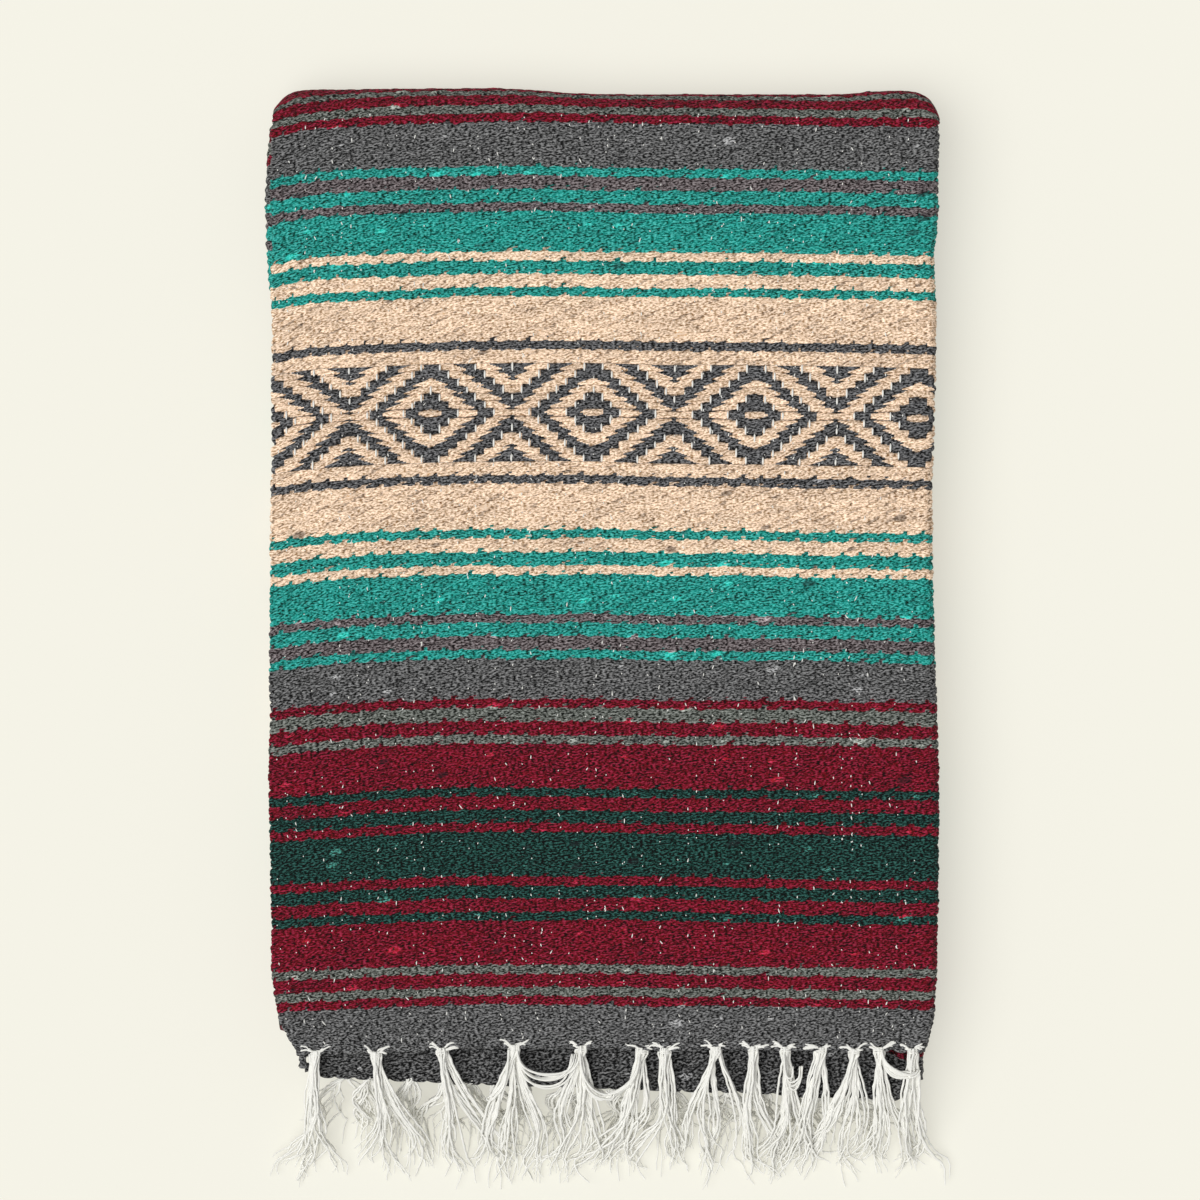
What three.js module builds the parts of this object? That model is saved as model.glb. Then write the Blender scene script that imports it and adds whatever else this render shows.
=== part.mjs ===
// A Mexican blanket serape of the striped falsa kind, folded in quarters across its width, then in
// quarters along its length, and laid flat with its fringed end towards -Y. Millimetres, +Z up.
// The stack rests on z = 0. Lengths along the flap are counted from its woven front edge, at y = 0.

import * as THREE from 'three';

// Cloth and stack
const LAYER = 2.4; // thickness of the woven cloth
const LAYERS_PER_PLY = 4;
const PLIES = 4;
const GAP = 0.3; // clearance between touching pieces
const UNDER_FLAP_GAP = 0.6; // clearance where flat facets follow the round fold
const PLY = LAYER * LAYERS_PER_PLY;
const STACK = PLY * PLIES;
const MID_HEIGHT = STACK / 2;

// Plan of the folded blanket
const FLAP_LENGTH = 461; // front edge to the outside of the top fold
const FOLD_AXIS_Y = FLAP_LENGTH - MID_HEIGHT;
const TOP_CORNER_DROP = 9; // how far the ends of the top fold round away
const TOP_CORNER_REACH = 22;
const EDGE_SAG = 0.8; // the woven front edge lies a little lower than the flap
const EDGE_SAG_REACH = 14;

// Where the two sides lie, at distances in from the front edge; the second end is outside it
const FLAP_SIDES = [
  { along: -26, left: -132, right: 144 },
  { along: 0, left: -146, right: 153.5 },
  { along: 5, left: -151.5, right: 156 },
  { along: 19, left: -156.5, right: 158.6 },
  { along: 36, left: -158.8, right: 158.6 },
  { along: 120, left: -159.6, right: 159.8 },
  { along: 221, left: -159.8, right: 157 },
  { along: 278, left: -158.8, right: 156.4 },
  { along: 346, left: -158.6, right: 158.4 },
  { along: 427, left: -159, right: 159.8 },
  { along: 461, left: -158, right: 159 },
];

// The plies under the flap stand out past it on two stretches
const UNDER_BULGES = [
  { side: 'left', from: 356, to: 448, reach: 3.6 },
  { side: 'right', from: 318, to: 384, reach: 1.8 },
];

// The fold of the lowest plies at the front, and the layers between it and the flap
const MIDDLE_FOLD_Y = 3;
const UPPER_LAYERS_Y = 1.5;
const UPPER_LAYERS_SETBACK = 12;

const TURN_CLEARANCE = 6; // the covered plies follow the flap's side this far behind it
const COVERED_SETBACK = 0.8;

// The blanket's other woven end, under the front edge and a little askew
const SECOND_END = { inset: 1.5, edge_left: -13, edge_right: -25, tuck: 12, sag: 4.5 };

// Fringe: strands fall from each woven end in a bend, land on the table and run out to their tips
const FRINGE_THICKNESS = 2.4;
const FRINGE_INSET = 4;
const FALL_SHARE = 0.75; // part of the strand's steps that lie in the bend
// lead: how far the bend first runs on along the cloth's own slope
const FRONT_FRINGE = { lead: 28, landing: -58, tip: -70, flare_y: 7, flare_z: 4 };
const SECOND_FRINGE = { lead: 9, landing: -40, tip: -51, flare_y: 9, flare_z: 1 };

// Mesh steps
const FLAP_STEPS_ACROSS = 18;
const FLAP_STEPS_ALONG = 34;
const SIDE_STEPS = 22;
const END_STEPS = 9;
const FOLD_STEPS = 8;
const FRINGE_STEPS = 22;
const STRAND_STEPS = 12;
const SECOND_END_STEPS = 6;

// Reads a column of a table between its rows, eased so that outlines have no corners.
function readTable(rows, keyColumn, valueColumn, key) {
  const last = rows[rows.length - 1];
  if (key <= rows[0][keyColumn]) {
    return rows[0][valueColumn];
  }
  if (key >= last[keyColumn]) {
    return last[valueColumn];
  }
  const next = rows.findIndex((row) => row[keyColumn] > key);
  const before = rows[next - 1];
  const after = rows[next];
  const share = (key - before[keyColumn]) / (after[keyColumn] - before[keyColumn]);
  return THREE.MathUtils.lerp(before[valueColumn], after[valueColumn], share);
}

function flapSide(side, along) {
  return readTable(FLAP_SIDES, 'along', side, along);
}

// Side of the plies under the flap, with the stretches that stand out.
function underSide(side, along) {
  const outward = side === 'left' ? -1 : 1;
  let place = flapSide(side, along);
  for (const bulge of UNDER_BULGES) {
    const share = (along - bulge.from) / (bulge.to - bulge.from);
    if (bulge.side === side && share > 0 && share < 1) {
      place += outward * bulge.reach * Math.sqrt(Math.sin(Math.PI * share));
    }
  }
  return place;
}

// How far the top fold draws back at its ends, for a surface this far inside the cloth.
function cornerDrop(x, left, right, inside = 0) {
  const inFromEnd = Math.min(x - left, right - x) - inside;
  const share = THREE.MathUtils.clamp(1 - inFromEnd / TOP_CORNER_REACH, 0, 1);
  return TOP_CORNER_DROP * share ** 3;
}

// A closed mesh from rings of equally many points, each ring capped at the two ends.
function loftRings(rings) {
  const ringSize = rings[0].length;
  const positions = [];
  const triangles = [];
  for (const ring of rings) {
    ring.forEach((point) => positions.push(point.x, point.y, point.z));
  }
  for (let level = 0; level < rings.length - 1; level += 1) {
    for (let step = 0; step < ringSize; step += 1) {
      const low = level * ringSize + step;
      const lowNext = level * ringSize + ((step + 1) % ringSize);
      triangles.push(low, lowNext, lowNext + ringSize);
      triangles.push(low, lowNext + ringSize, low + ringSize);
    }
  }
  const addCap = (level, facesUp) => {
    const middle = new THREE.Vector3();
    rings[level].forEach((point) => middle.addScaledVector(point, 1 / ringSize));
    const hub = positions.length / 3;
    positions.push(middle.x, middle.y, middle.z);
    for (let step = 0; step < ringSize; step += 1) {
      const here = level * ringSize + step;
      const next = level * ringSize + ((step + 1) % ringSize);
      triangles.push(...(facesUp ? [hub, here, next] : [hub, next, here]));
    }
  };
  addCap(0, false);
  addCap(rings.length - 1, true);
  return meshFrom(positions, triangles);
}

// A closed wall: its outer face is the surface, and its inner face lies one thickness behind it.
function wallFrom(surface, stepsAcross, stepsAlong, thickness) {
  const positions = [];
  const triangles = [];
  const columns = stepsAcross + 1;
  const pointCount = columns * (stepsAlong + 1);
  const faces = { outer: 0, inner: thickness };
  for (const depth of Object.values(faces)) {
    for (let row = 0; row <= stepsAlong; row += 1) {
      for (let column = 0; column <= stepsAcross; column += 1) {
        const point = surface(column / stepsAcross, row / stepsAlong);
        const normal = surfaceNormal(surface, column / stepsAcross, row / stepsAlong);
        point.addScaledVector(normal, -depth);
        positions.push(point.x, point.y, point.z);
      }
    }
  }
  for (let row = 0; row < stepsAlong; row += 1) {
    for (let column = 0; column < stepsAcross; column += 1) {
      const corner = row * columns + column;
      const above = corner + columns;
      triangles.push(corner, corner + 1, above + 1, corner, above + 1, above);
      const inside = corner + pointCount;
      const insideAbove = above + pointCount;
      triangles.push(inside, insideAbove + 1, inside + 1, inside, insideAbove, insideAbove + 1);
    }
  }
  const rim = [];
  for (let column = 0; column < stepsAcross; column += 1) {
    rim.push(column);
  }
  for (let row = 0; row < stepsAlong; row += 1) {
    rim.push(row * columns + stepsAcross);
  }
  for (let column = stepsAcross; column > 0; column -= 1) {
    rim.push(stepsAlong * columns + column);
  }
  for (let row = stepsAlong; row > 0; row -= 1) {
    rim.push(row * columns);
  }
  rim.forEach((here, index) => {
    const next = rim[(index + 1) % rim.length];
    triangles.push(here, here + pointCount, next + pointCount);
    triangles.push(here, next + pointCount, next);
  });
  return meshFrom(positions, triangles);
}

function surfaceNormal(surface, across, along) {
  const reach = 0.004;
  const left = surface(Math.max(across - reach, 0), along);
  const right = surface(Math.min(across + reach, 1), along);
  const near = surface(across, Math.max(along - reach, 0));
  const far = surface(across, Math.min(along + reach, 1));
  return right.sub(left).cross(far.sub(near)).normalize();
}

function meshFrom(positions, triangles) {
  const geometry = new THREE.BufferGeometry();
  geometry.setAttribute('position', new THREE.Float32BufferAttribute(positions, 3));
  geometry.setIndex(triangles);
  geometry.computeVertexNormals();
  return geometry;
}

// The stack's upper face and outer fold as one line in the YZ plane, with its outward direction.
function flapLine(distance) {
  if (distance <= FOLD_AXIS_Y) {
    const sagShare = THREE.MathUtils.clamp(1 - distance / EDGE_SAG_REACH, 0, 1);
    const height = STACK - EDGE_SAG * sagShare ** 2;
    return { y: distance, z: height, outY: 0, outZ: 1 };
  }
  const turn = Math.min((distance - FOLD_AXIS_Y) / MID_HEIGHT, Math.PI);
  return {
    y: FOLD_AXIS_Y + MID_HEIGHT * Math.sin(turn),
    z: MID_HEIGHT + MID_HEIGHT * Math.cos(turn),
    outY: Math.sin(turn),
    outZ: Math.cos(turn),
  };
}

// The uppermost layer: from the front edge up over the top fold, its right side turned down
// round the rest of its ply.
function frontFlapSurface(across, along) {
  const turnRadius = PLY / 2;
  const flatShare = 0.7;
  const lastTurn = THREE.MathUtils.degToRad(140);
  const flatAlong = 0.72;
  const foldLength = MID_HEIGHT * Math.PI;
  const distance =
    along < flatAlong
      ? (along / flatAlong) * FOLD_AXIS_Y
      : FOLD_AXIS_Y + ((along - flatAlong) / (1 - flatAlong)) * foldLength;
  const line = flapLine(distance);
  const left = flapSide('left', line.y);
  const right = flapSide('right', line.y);
  const turnStart = right - turnRadius;
  const turn = Math.max(0, (across - flatShare) / (1 - flatShare)) * lastTurn;
  const x =
    across < flatShare
      ? THREE.MathUtils.lerp(left, turnStart, across / flatShare)
      : turnStart + turnRadius * Math.sin(turn);
  const depth = turnRadius * (1 - Math.cos(turn));
  const drawnBack = line.outY > 0 ? cornerDrop(x, left, right) * line.outY ** 2 : 0;
  return new THREE.Vector3(
    x,
    line.y - line.outY * depth - drawnBack,
    line.z - line.outZ * depth,
  );
}

// How far a round ply edge draws in, by the depth below the stack's outside.
function plyScallop(depthInStack) {
  const radius = PLY / 2;
  const fromMiddle = THREE.MathUtils.euclideanModulo(depthInStack, PLY) - radius;
  return radius - Math.sqrt(Math.max(radius ** 2 - fromMiddle ** 2, 0));
}

// The left side shows single layers, so its grooves are shallow.
function layerScallop(depthInStack) {
  const grooveDepth = 1.1;
  return grooveDepth * Math.abs(Math.cos((Math.PI * depthInStack) / (2 * LAYER)));
}

// One horizontal ring of the hidden layers' solid.
function bodyRing({ z, front, frontSkew }) {
  const innerFold = MID_HEIGHT - LAYER - UNDER_FLAP_GAP;
  const fromMid = z - MID_HEIGHT;
  const underFlap = innerFold ** 2 > fromMid ** 2;
  const back = underFlap ? FOLD_AXIS_Y + Math.sqrt(innerFold ** 2 - fromMid ** 2) : FOLD_AXIS_Y - 2 * UNDER_FLAP_GAP;
  const foldStart = FOLD_AXIS_Y - 3;
  const upperPly = z > STACK - PLY;
  const sideX = (side, y) => {
    const inFold = y > foldStart + GAP;
    const fromAxis = inFold ? Math.hypot(Math.max(y - FOLD_AXIS_Y, 0), fromMid) : Math.abs(fromMid);
    const depth = MID_HEIGHT - fromAxis;
    if (side === 'left') {
      const place = upperPly ? flapSide('left', y) + GAP : underSide('left', y);
      const outerBundle = inFold && depth < PLY;
      return (outerBundle ? flapSide('left', y) + GAP : place) + layerScallop(depth);
    }
    const coveredByFlap = upperPly || (inFold && depth < PLY);
    if (!coveredByFlap) {
      return underSide('right', y) - plyScallop(depth);
    }
    const insideTurn = PLY / 2 - LAYER - GAP;
    const fromTurn = depth - PLY / 2;
    const turned = Math.sqrt(Math.max(insideTurn ** 2 - fromTurn ** 2, 0));
    return flapSide('right', y - TURN_CLEARANCE) - PLY / 2 - COVERED_SETBACK + turned;
  };
  const drawBack = (x, y) => {
    const past = Math.max(y - FOLD_AXIS_Y, 0);
    const outward = past / Math.max(Math.hypot(past, fromMid), GAP);
    const drop = cornerDrop(x, flapSide('left', y), flapSide('right', y), PLY / 2);
    return y - drop * outward ** 2;
  };
  const frontAt = (share) => front + frontSkew * share;
  const ring = [];
  const addSide = (side, share) => {
    const start = frontAt(side === 'left' ? 0 : 1);
    const stretches = share < SIDE_STEPS ? share / SIDE_STEPS : 1;
    const inFold = share - SIDE_STEPS;
    const y =
      inFold > 0
        ? THREE.MathUtils.lerp(foldStart, back, inFold / FOLD_STEPS)
        : THREE.MathUtils.lerp(start, foldStart, stretches);
    const x = sideX(side, y);
    ring.push(new THREE.Vector3(x, drawBack(x, y), z));
  };
  for (let step = 0; step < SIDE_STEPS + FOLD_STEPS; step += 1) {
    addSide('right', step);
  }
  const backLeft = sideX('left', back);
  const backRight = sideX('right', back);
  for (let step = 0; step <= END_STEPS; step += 1) {
    const x = THREE.MathUtils.lerp(backRight, backLeft, step / END_STEPS);
    ring.push(new THREE.Vector3(x, drawBack(x, back), z));
  }
  for (let step = SIDE_STEPS + FOLD_STEPS - 1; step >= 0; step -= 1) {
    addSide('left', step);
  }
  const frontLeft = sideX('left', frontAt(0));
  const frontRight = sideX('right', frontAt(1));
  for (let step = 1; step < END_STEPS; step += 1) {
    const share = step / END_STEPS;
    const x = THREE.MathUtils.lerp(frontLeft, frontRight, share);
    ring.push(new THREE.Vector3(x, frontAt(share), z));
  }
  return ring;
}

// Levels of the hidden layers' solid, lowest first, with where each one's front lies.
function bodyLevels() {
  const levels = [];
  const foldHeights = [0, 1.2, 2.5, 3.2, 4.8, 7, 8.8, 9.6, 10.4, 12.2, 14.4, 16.8, 18.5];
  for (const z of foldHeights) {
    const fromAxis = z - PLY;
    const setback = PLY - Math.sqrt(PLY ** 2 - Math.min(fromAxis ** 2, PLY ** 2));
    levels.push({ z, front: MIDDLE_FOLD_Y + setback, frontSkew: 0 });
  }
  const skew = SECOND_END.edge_right - SECOND_END.edge_left;
  const lowerEnd = SECOND_END.edge_left + 8;
  levels.push({ z: MID_HEIGHT, front: lowerEnd + 3, frontSkew: skew / 2 });
  levels.push({ z: 20, front: lowerEnd, frontSkew: skew / 2 });
  levels.push({ z: 21.2, front: lowerEnd + 2, frontSkew: skew / 2 });
  levels.push({ z: 24, front: 2, frontSkew: 0 });
  levels.push({ z: 26.1, front: 4, frontSkew: 0 });
  levels.push({ z: 26.1, front: SECOND_END.tuck + GAP, frontSkew: 0 });
  levels.push({ z: 29.1, front: SECOND_END.tuck + GAP, frontSkew: 0 });
  for (const z of [29.1, 30.4, 31.6, 33.6]) {
    levels.push({ z, front: UPPER_LAYERS_Y, frontSkew: 0 });
  }
  levels.push({ z: 34.9, front: UPPER_LAYERS_Y + 1, frontSkew: 0 });
  levels.push({ z: STACK - LAYER - UNDER_FLAP_GAP, front: UPPER_LAYERS_SETBACK, frontSkew: 0 });
  return levels;
}

// Edge of the second end across the blanket.
function secondEdge(across) {
  return THREE.MathUtils.lerp(SECOND_END.edge_left, SECOND_END.edge_right, across);
}

function secondEndSurface(across, along) {
  const y = THREE.MathUtils.lerp(secondEdge(across), SECOND_END.tuck, along);
  const overhang = Math.max(-y, 0) / -SECOND_END.edge_right;
  const z = STACK - PLY - SECOND_END.sag * overhang ** 1.5;
  const left = flapSide('left', y) + SECOND_END.inset;
  const right = flapSide('right', y) - SECOND_END.inset;
  return new THREE.Vector3(THREE.MathUtils.lerp(left, right, across), y, z);
}

// A strand line from its tip back to the woven edge it hangs from.
function fringePoint(edge, slope, sizes, along) {
  const landing = new THREE.Vector3(edge.x, sizes.landing, FRINGE_THICKNESS);
  const shareFromEdge = 1 - along;
  if (shareFromEdge > FALL_SHARE) {
    const tip = new THREE.Vector3(edge.x, sizes.tip, FRINGE_THICKNESS);
    return landing.lerp(tip, (shareFromEdge - FALL_SHARE) / (1 - FALL_SHARE));
  }
  const lead = edge.clone().add(new THREE.Vector3(0, -sizes.lead, -sizes.lead * slope));
  const flare = landing.clone().add(new THREE.Vector3(0, sizes.flare_y, sizes.flare_z));
  const fall = new THREE.CubicBezierCurve3(edge, lead, flare, landing);
  return fall.getPoint(shareFromEdge / FALL_SHARE);
}

function frontFringeSurface(across, along) {
  const left = flapSide('left', 0) + FRINGE_INSET;
  const right = flapSide('right', 0) - FRINGE_INSET;
  const slope = (2 * EDGE_SAG) / EDGE_SAG_REACH;
  const x = THREE.MathUtils.lerp(left, right, across);
  return fringePoint(new THREE.Vector3(x, -GAP, STACK - EDGE_SAG), slope, FRONT_FRINGE, along);
}

function secondFringeSurface(across, along) {
  const edge = secondEndSurface(across, 0);
  const inward = secondEndSurface(across, 0.01);
  const slope = (inward.z - edge.z) / (inward.y - edge.y);
  edge.x *= 1 - FRINGE_INSET / flapSide('right', 0);
  edge.y -= 2 * GAP;
  return fringePoint(edge, slope, SECOND_FRINGE, along);
}

function addPiece(group, name, geometry, color, roughness) {
  const material = new THREE.MeshStandardMaterial({ color, roughness, metalness: 0 });
  const mesh = new THREE.Mesh(geometry, material);
  mesh.name = name;
  group.add(mesh);
}

function buildSerape() {
  const serape = new THREE.Group();
  const flap = wallFrom(frontFlapSurface, FLAP_STEPS_ACROSS, FLAP_STEPS_ALONG, LAYER);
  const secondEnd = wallFrom(secondEndSurface, FRINGE_STEPS, SECOND_END_STEPS, LAYER);
  const frontFringe = wallFrom(frontFringeSurface, FRINGE_STEPS, STRAND_STEPS, FRINGE_THICKNESS);
  const secondFringe = wallFrom(secondFringeSurface, FRINGE_STEPS, STRAND_STEPS, FRINGE_THICKNESS);
  addPiece(serape, 'front_flap', flap, 0x7b5f57, 0.92);
  addPiece(serape, 'folded_layers', loftRings(bodyLevels().map(bodyRing)), 0x555554, 0.92);
  addPiece(serape, 'second_end', secondEnd, 0x48484a, 0.92);
  addPiece(serape, 'front_fringe', frontFringe, 0xebebe8, 0.85);
  addPiece(serape, 'second_fringe', secondFringe, 0xe2e1dc, 0.85);
  const box = new THREE.Box3().setFromObject(serape);
  const middle = box.getCenter(new THREE.Vector3());
  serape.position.set(-middle.x, -middle.y, -box.min.z);
  return serape;
}

export default buildSerape();
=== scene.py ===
"""Dresses the folded serape: woven cloth, layered edges, warp ties, knotted fringe and studio."""

import logging
import math
from collections.abc import Sequence
from dataclasses import dataclass, field
from enum import Enum

import bpy
import numpy as np
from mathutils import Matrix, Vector


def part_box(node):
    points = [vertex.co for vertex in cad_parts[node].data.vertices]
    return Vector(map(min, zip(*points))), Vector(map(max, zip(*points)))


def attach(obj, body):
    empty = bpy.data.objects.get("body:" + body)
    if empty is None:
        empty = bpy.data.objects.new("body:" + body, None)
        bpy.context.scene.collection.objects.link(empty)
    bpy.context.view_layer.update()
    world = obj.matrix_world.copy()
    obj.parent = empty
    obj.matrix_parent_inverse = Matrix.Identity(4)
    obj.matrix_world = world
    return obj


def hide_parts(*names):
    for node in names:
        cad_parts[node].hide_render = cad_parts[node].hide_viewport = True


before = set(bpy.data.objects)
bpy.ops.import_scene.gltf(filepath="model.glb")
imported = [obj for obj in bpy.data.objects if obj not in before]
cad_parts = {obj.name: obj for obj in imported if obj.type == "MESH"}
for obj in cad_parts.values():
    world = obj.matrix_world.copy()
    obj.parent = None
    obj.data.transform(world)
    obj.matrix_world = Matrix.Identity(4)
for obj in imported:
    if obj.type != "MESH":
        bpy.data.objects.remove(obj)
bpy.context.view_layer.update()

LOG = logging.getLogger("serape")
MM = 0.001
BODY = "root"
FLOOR_GAP = 0.1 * MM
CLOTH_MAP = "cloth"
BAKE_MAP = "OFBake"
STRAND_MAP = "strand"


class Dye(Enum):
    """A yarn colour of the blanket, as (red, green, blue) in display values from 0 to 255."""

    GREEN = (14, 51, 45)
    RED = (101, 6, 25)
    GRAY = (85, 85, 85)
    MOSS_GRAY = (91, 94, 89)
    BROWN_GRAY = (91, 84, 85)
    TEAL = (32, 131, 122)
    TAN = (210, 184, 159)
    CHARCOAL = (79, 79, 80)

    def linear(self) -> tuple[float, float, float, float]:
        """Returns the colour in linear light with full alpha."""
        return linear_colour(self.value)


def linear_colour(display: Sequence[float]) -> tuple[float, float, float, float]:
    """Turns a display colour into linear light.

    Args:
        display: Red, green and blue from 0 to 255.

    Returns:
        The linear colour with full alpha.
    """
    shares = [value / 255 for value in display]
    low = [share / 12.92 for share in shares]
    high = [((share + 0.055) / 1.055) ** 2.4 for share in shares]
    red, green, blue = (b if s > 0.04045 else a for s, a, b in zip(shares, low, high))
    return red, green, blue, 1.0


@dataclass(frozen=True)
class Band:
    """One stripe, from the middle of a green band towards the middle of a diamond band."""

    dye: Dye
    picks: float


HALF_REPEAT_BANDS = (
    Band(Dye.GREEN, 5),
    Band(Dye.RED, 2),
    Band(Dye.GREEN, 3),
    Band(Dye.RED, 3),
    Band(Dye.GREEN, 2),
    Band(Dye.RED, 10),
    Band(Dye.MOSS_GRAY, 2),
    Band(Dye.RED, 3),
    Band(Dye.MOSS_GRAY, 3),
    Band(Dye.RED, 2),
    Band(Dye.GRAY, 9),
    Band(Dye.TEAL, 2),
    Band(Dye.BROWN_GRAY, 3),
    Band(Dye.TEAL, 3),
    Band(Dye.BROWN_GRAY, 2),
    Band(Dye.TEAL, 9),
    Band(Dye.TAN, 2),
    Band(Dye.TEAL, 3),
    Band(Dye.TAN, 3),
    Band(Dye.TEAL, 2),
    Band(Dye.TAN, 10),
    Band(Dye.CHARCOAL, 2),
    Band(Dye.TAN, 3),
)


def hashed(first: np.ndarray, second: np.ndarray, salt: float) -> np.ndarray:
    """Gives each pair of whole numbers its own repeatable value.

    Args:
        first: First numbers.
        second: Second numbers.
        salt: Picks one of many independent sets of values.

    Returns:
        Values from 0 to 1.
    """
    wave = np.sin(first * 127.1 + second * 311.7 + salt * 74.7) * 43758.5453
    return wave - np.floor(wave)


def smooth_noise(x: np.ndarray, y: np.ndarray, salt: float) -> np.ndarray:
    """Value noise with a cell of 1.

    Args:
        x: Places along the first axis, in cells.
        y: Places along the second axis, in cells.
        salt: Picks one of many independent fields.

    Returns:
        Values from -1 to 1.
    """
    left, low = np.floor(x), np.floor(y)
    across, up = x - left, y - low
    across = across * across * (3 - 2 * across)
    up = up * up * (3 - 2 * up)
    bottom = hashed(left, low, salt) * (1 - across) + hashed(left + 1, low, salt) * across
    top = hashed(left, low + 1, salt) * (1 - across) + hashed(left + 1, low + 1, salt) * across
    return 2 * (bottom * (1 - up) + top * up) - 1


@dataclass
class Relief:
    """What the weave shows at each place.

    height is above the middle of the yarn, dye the place along the half repeat, yarn the shade
    of the bead, fullness runs from 0 in the gaps to 1 on a bead's back, and slub from -1 in a
    dark lump to 1 in a bright one.
    """

    height: np.ndarray
    dye: np.ndarray
    yarn: np.ndarray
    fullness: np.ndarray
    slub: np.ndarray | float = 0.0


@dataclass(frozen=True)
class Weave:
    """The weft-faced weave and its stripes, measured along the cloth from its first woven end."""

    warp: float = 4.41 * MM
    pick: float = 2.1456 * MM
    float_pick: float = 3.661 * MM
    diamond_rows: int = 13
    warps_per_diamond: int = 18
    end_picks: float = 43.5
    bead_reach: float = 1.0
    bead_rise: float = 0.66
    bead_squareness: float = 3.0
    slant: float = 0.13
    depth: float = 1.15 * MM
    float_depth: float = 1.6 * MM
    diamond_shift: float = 35.3
    leaf_half: float = 0.52
    leaf_lean: float = 0.22
    slub_across: float = 23 * MM
    slub_along: float = 8.5 * MM
    slub_share: float = 0.36
    slub_lift: float = 0.45 * MM
    repeats: int = 4
    moved_from: float = 32
    moved_to: float = 35

    @property
    def plain_picks(self) -> float:
        """Picks from the middle of a green band to the diamond rows."""
        return sum(band.picks for band in HALF_REPEAT_BANDS)

    @property
    def half_repeat(self) -> float:
        """Length from the middle of a green band to the middle of the next diamond band."""
        return self.plain_picks * self.pick + self.diamond_rows * self.float_pick / 2

    @property
    def cloth_length(self) -> float:
        """Length of the whole cloth between its two woven ends."""
        return 2 * (self.repeats * self.half_repeat + self.first_green)

    @property
    def first_green(self) -> float:
        """Length from the woven end to the middle of the first green band."""
        return self.end_picks * self.pick

    def from_green(self, along: np.ndarray) -> np.ndarray:
        """Signed distance along the cloth from the nearest middle of a green band."""
        repeat = 2 * self.half_repeat
        return np.mod(along - self.first_green + self.half_repeat, repeat) - self.half_repeat

    def relief(self, across: np.ndarray, along: np.ndarray) -> Relief:
        """Works out the weave at many places.

        Args:
            across: Places across the cloth from its first selvedge.
            along: Places along the cloth from its first woven end.

        Returns:
            Height above the middle of the yarn, dye place and yarn shade.
        """
        signed = self.from_green(along)
        plain = self._beads(across, signed)
        in_diamonds = np.abs(signed) > self.plain_picks * self.pick
        floats = self._floats(across, signed)
        slub = np.where(in_diamonds, 0, self.slubs(across, along))
        from_end = np.minimum(along, self.cloth_length - along)
        last_dye = (self.end_picks - 0.2) * self.pick / self.half_repeat
        dye = np.where(in_diamonds, floats.dye, plain.dye)
        dye = np.where(from_end < 3 * self.pick, np.minimum(dye, last_dye), dye)
        return Relief(
            np.where(in_diamonds, floats.height, plain.height) + np.abs(slub) * self.slub_lift,
            dye,
            np.where(in_diamonds, floats.yarn, plain.yarn),
            np.where(in_diamonds, floats.fullness, plain.fullness),
            slub,
        )

    def slubs(self, across: np.ndarray, along: np.ndarray) -> np.ndarray:
        """Scatters thick lumps of yarn, at most one in each cell of the cloth.

        Args:
            across: Places across the cloth.
            along: Places along the cloth.

        Returns:
            From -1 in the middle of a dark lump to 1 in the middle of a bright one.
        """
        column, row = np.floor(across / self.slub_across), np.floor(along / self.slub_along)
        reach = (1.5 + 2.6 * hashed(column, row, 83.0) ** 2) * MM
        rise = reach * (0.36 + 0.2 * hashed(column, row, 84.0))
        middle_x = (column + 0.25 + 0.5 * hashed(column, row, 81.0)) * self.slub_across
        middle_y = (row + 0.3 + 0.4 * hashed(column, row, 82.0)) * self.slub_along
        beside, above = across - middle_x, along - middle_y
        above = above - self.slant * beside
        ring = (beside / reach) ** 2 + (above / rise) ** 2
        present = hashed(column, row, 85.0) < self.slub_share
        bright = np.where(hashed(column, row, 86.0) < 0.62, 1.0, -1.0)
        return bright * present * np.clip(1.15 - ring, 0, 1) ** 0.7

    def _beads(self, across: np.ndarray, signed: np.ndarray) -> Relief:
        """The plain bands: slanting beads of weft, staggered from row to row."""
        base = np.floor(signed / self.pick)
        best = np.full(across.shape, -1.0)
        dye = np.zeros(across.shape)
        yarn = np.zeros(across.shape)
        last_row = self.plain_picks
        for step in (-1, 0, 1):
            row = np.clip(base + step, -last_row, last_row - 1)
            parity = np.mod(row, 2)
            bead = np.round((across / self.warp - parity) / 2)
            middle = (2 * bead + parity) * self.warp
            nudge = (hashed(bead, row, 1.0) - 0.5) * 1.2 * MM
            reach = self.bead_reach * self.warp * (0.88 + 0.24 * hashed(bead, row, 2.0))
            rise = self.bead_rise * self.pick * (0.88 + 0.26 * hashed(bead, row, 3.0))
            beside = (across - middle - nudge) / reach
            lift = (hashed(bead, row, 4.0) - 0.5) * 0.45 * MM
            above = signed - (row + 0.5) * self.pick - lift
            slant = self.slant + 0.14 * (hashed(bead, row, 8.0) - 0.5)
            above = (above - slant * (across - middle - nudge)) / rise
            swell = 0.86 + 0.28 * hashed(bead, row, 5.0)
            height = np.sqrt(np.maximum(1 - np.abs(beside) ** self.bead_squareness - above**2, 0)) * swell
            wins = height > best
            best = np.where(wins, height, best)
            place = np.abs(row + 0.5)
            place = place + ((row < 0) & (place > self.moved_from) & (place < self.moved_to))
            dye = np.where(wins, place * self.pick / self.half_repeat, dye)
            yarn = np.where(wins, hashed(bead, row, 6.0), yarn)
        best = np.maximum(best, 0)
        return Relief((best - 0.6) * self.depth, dye, yarn, best)

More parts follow.
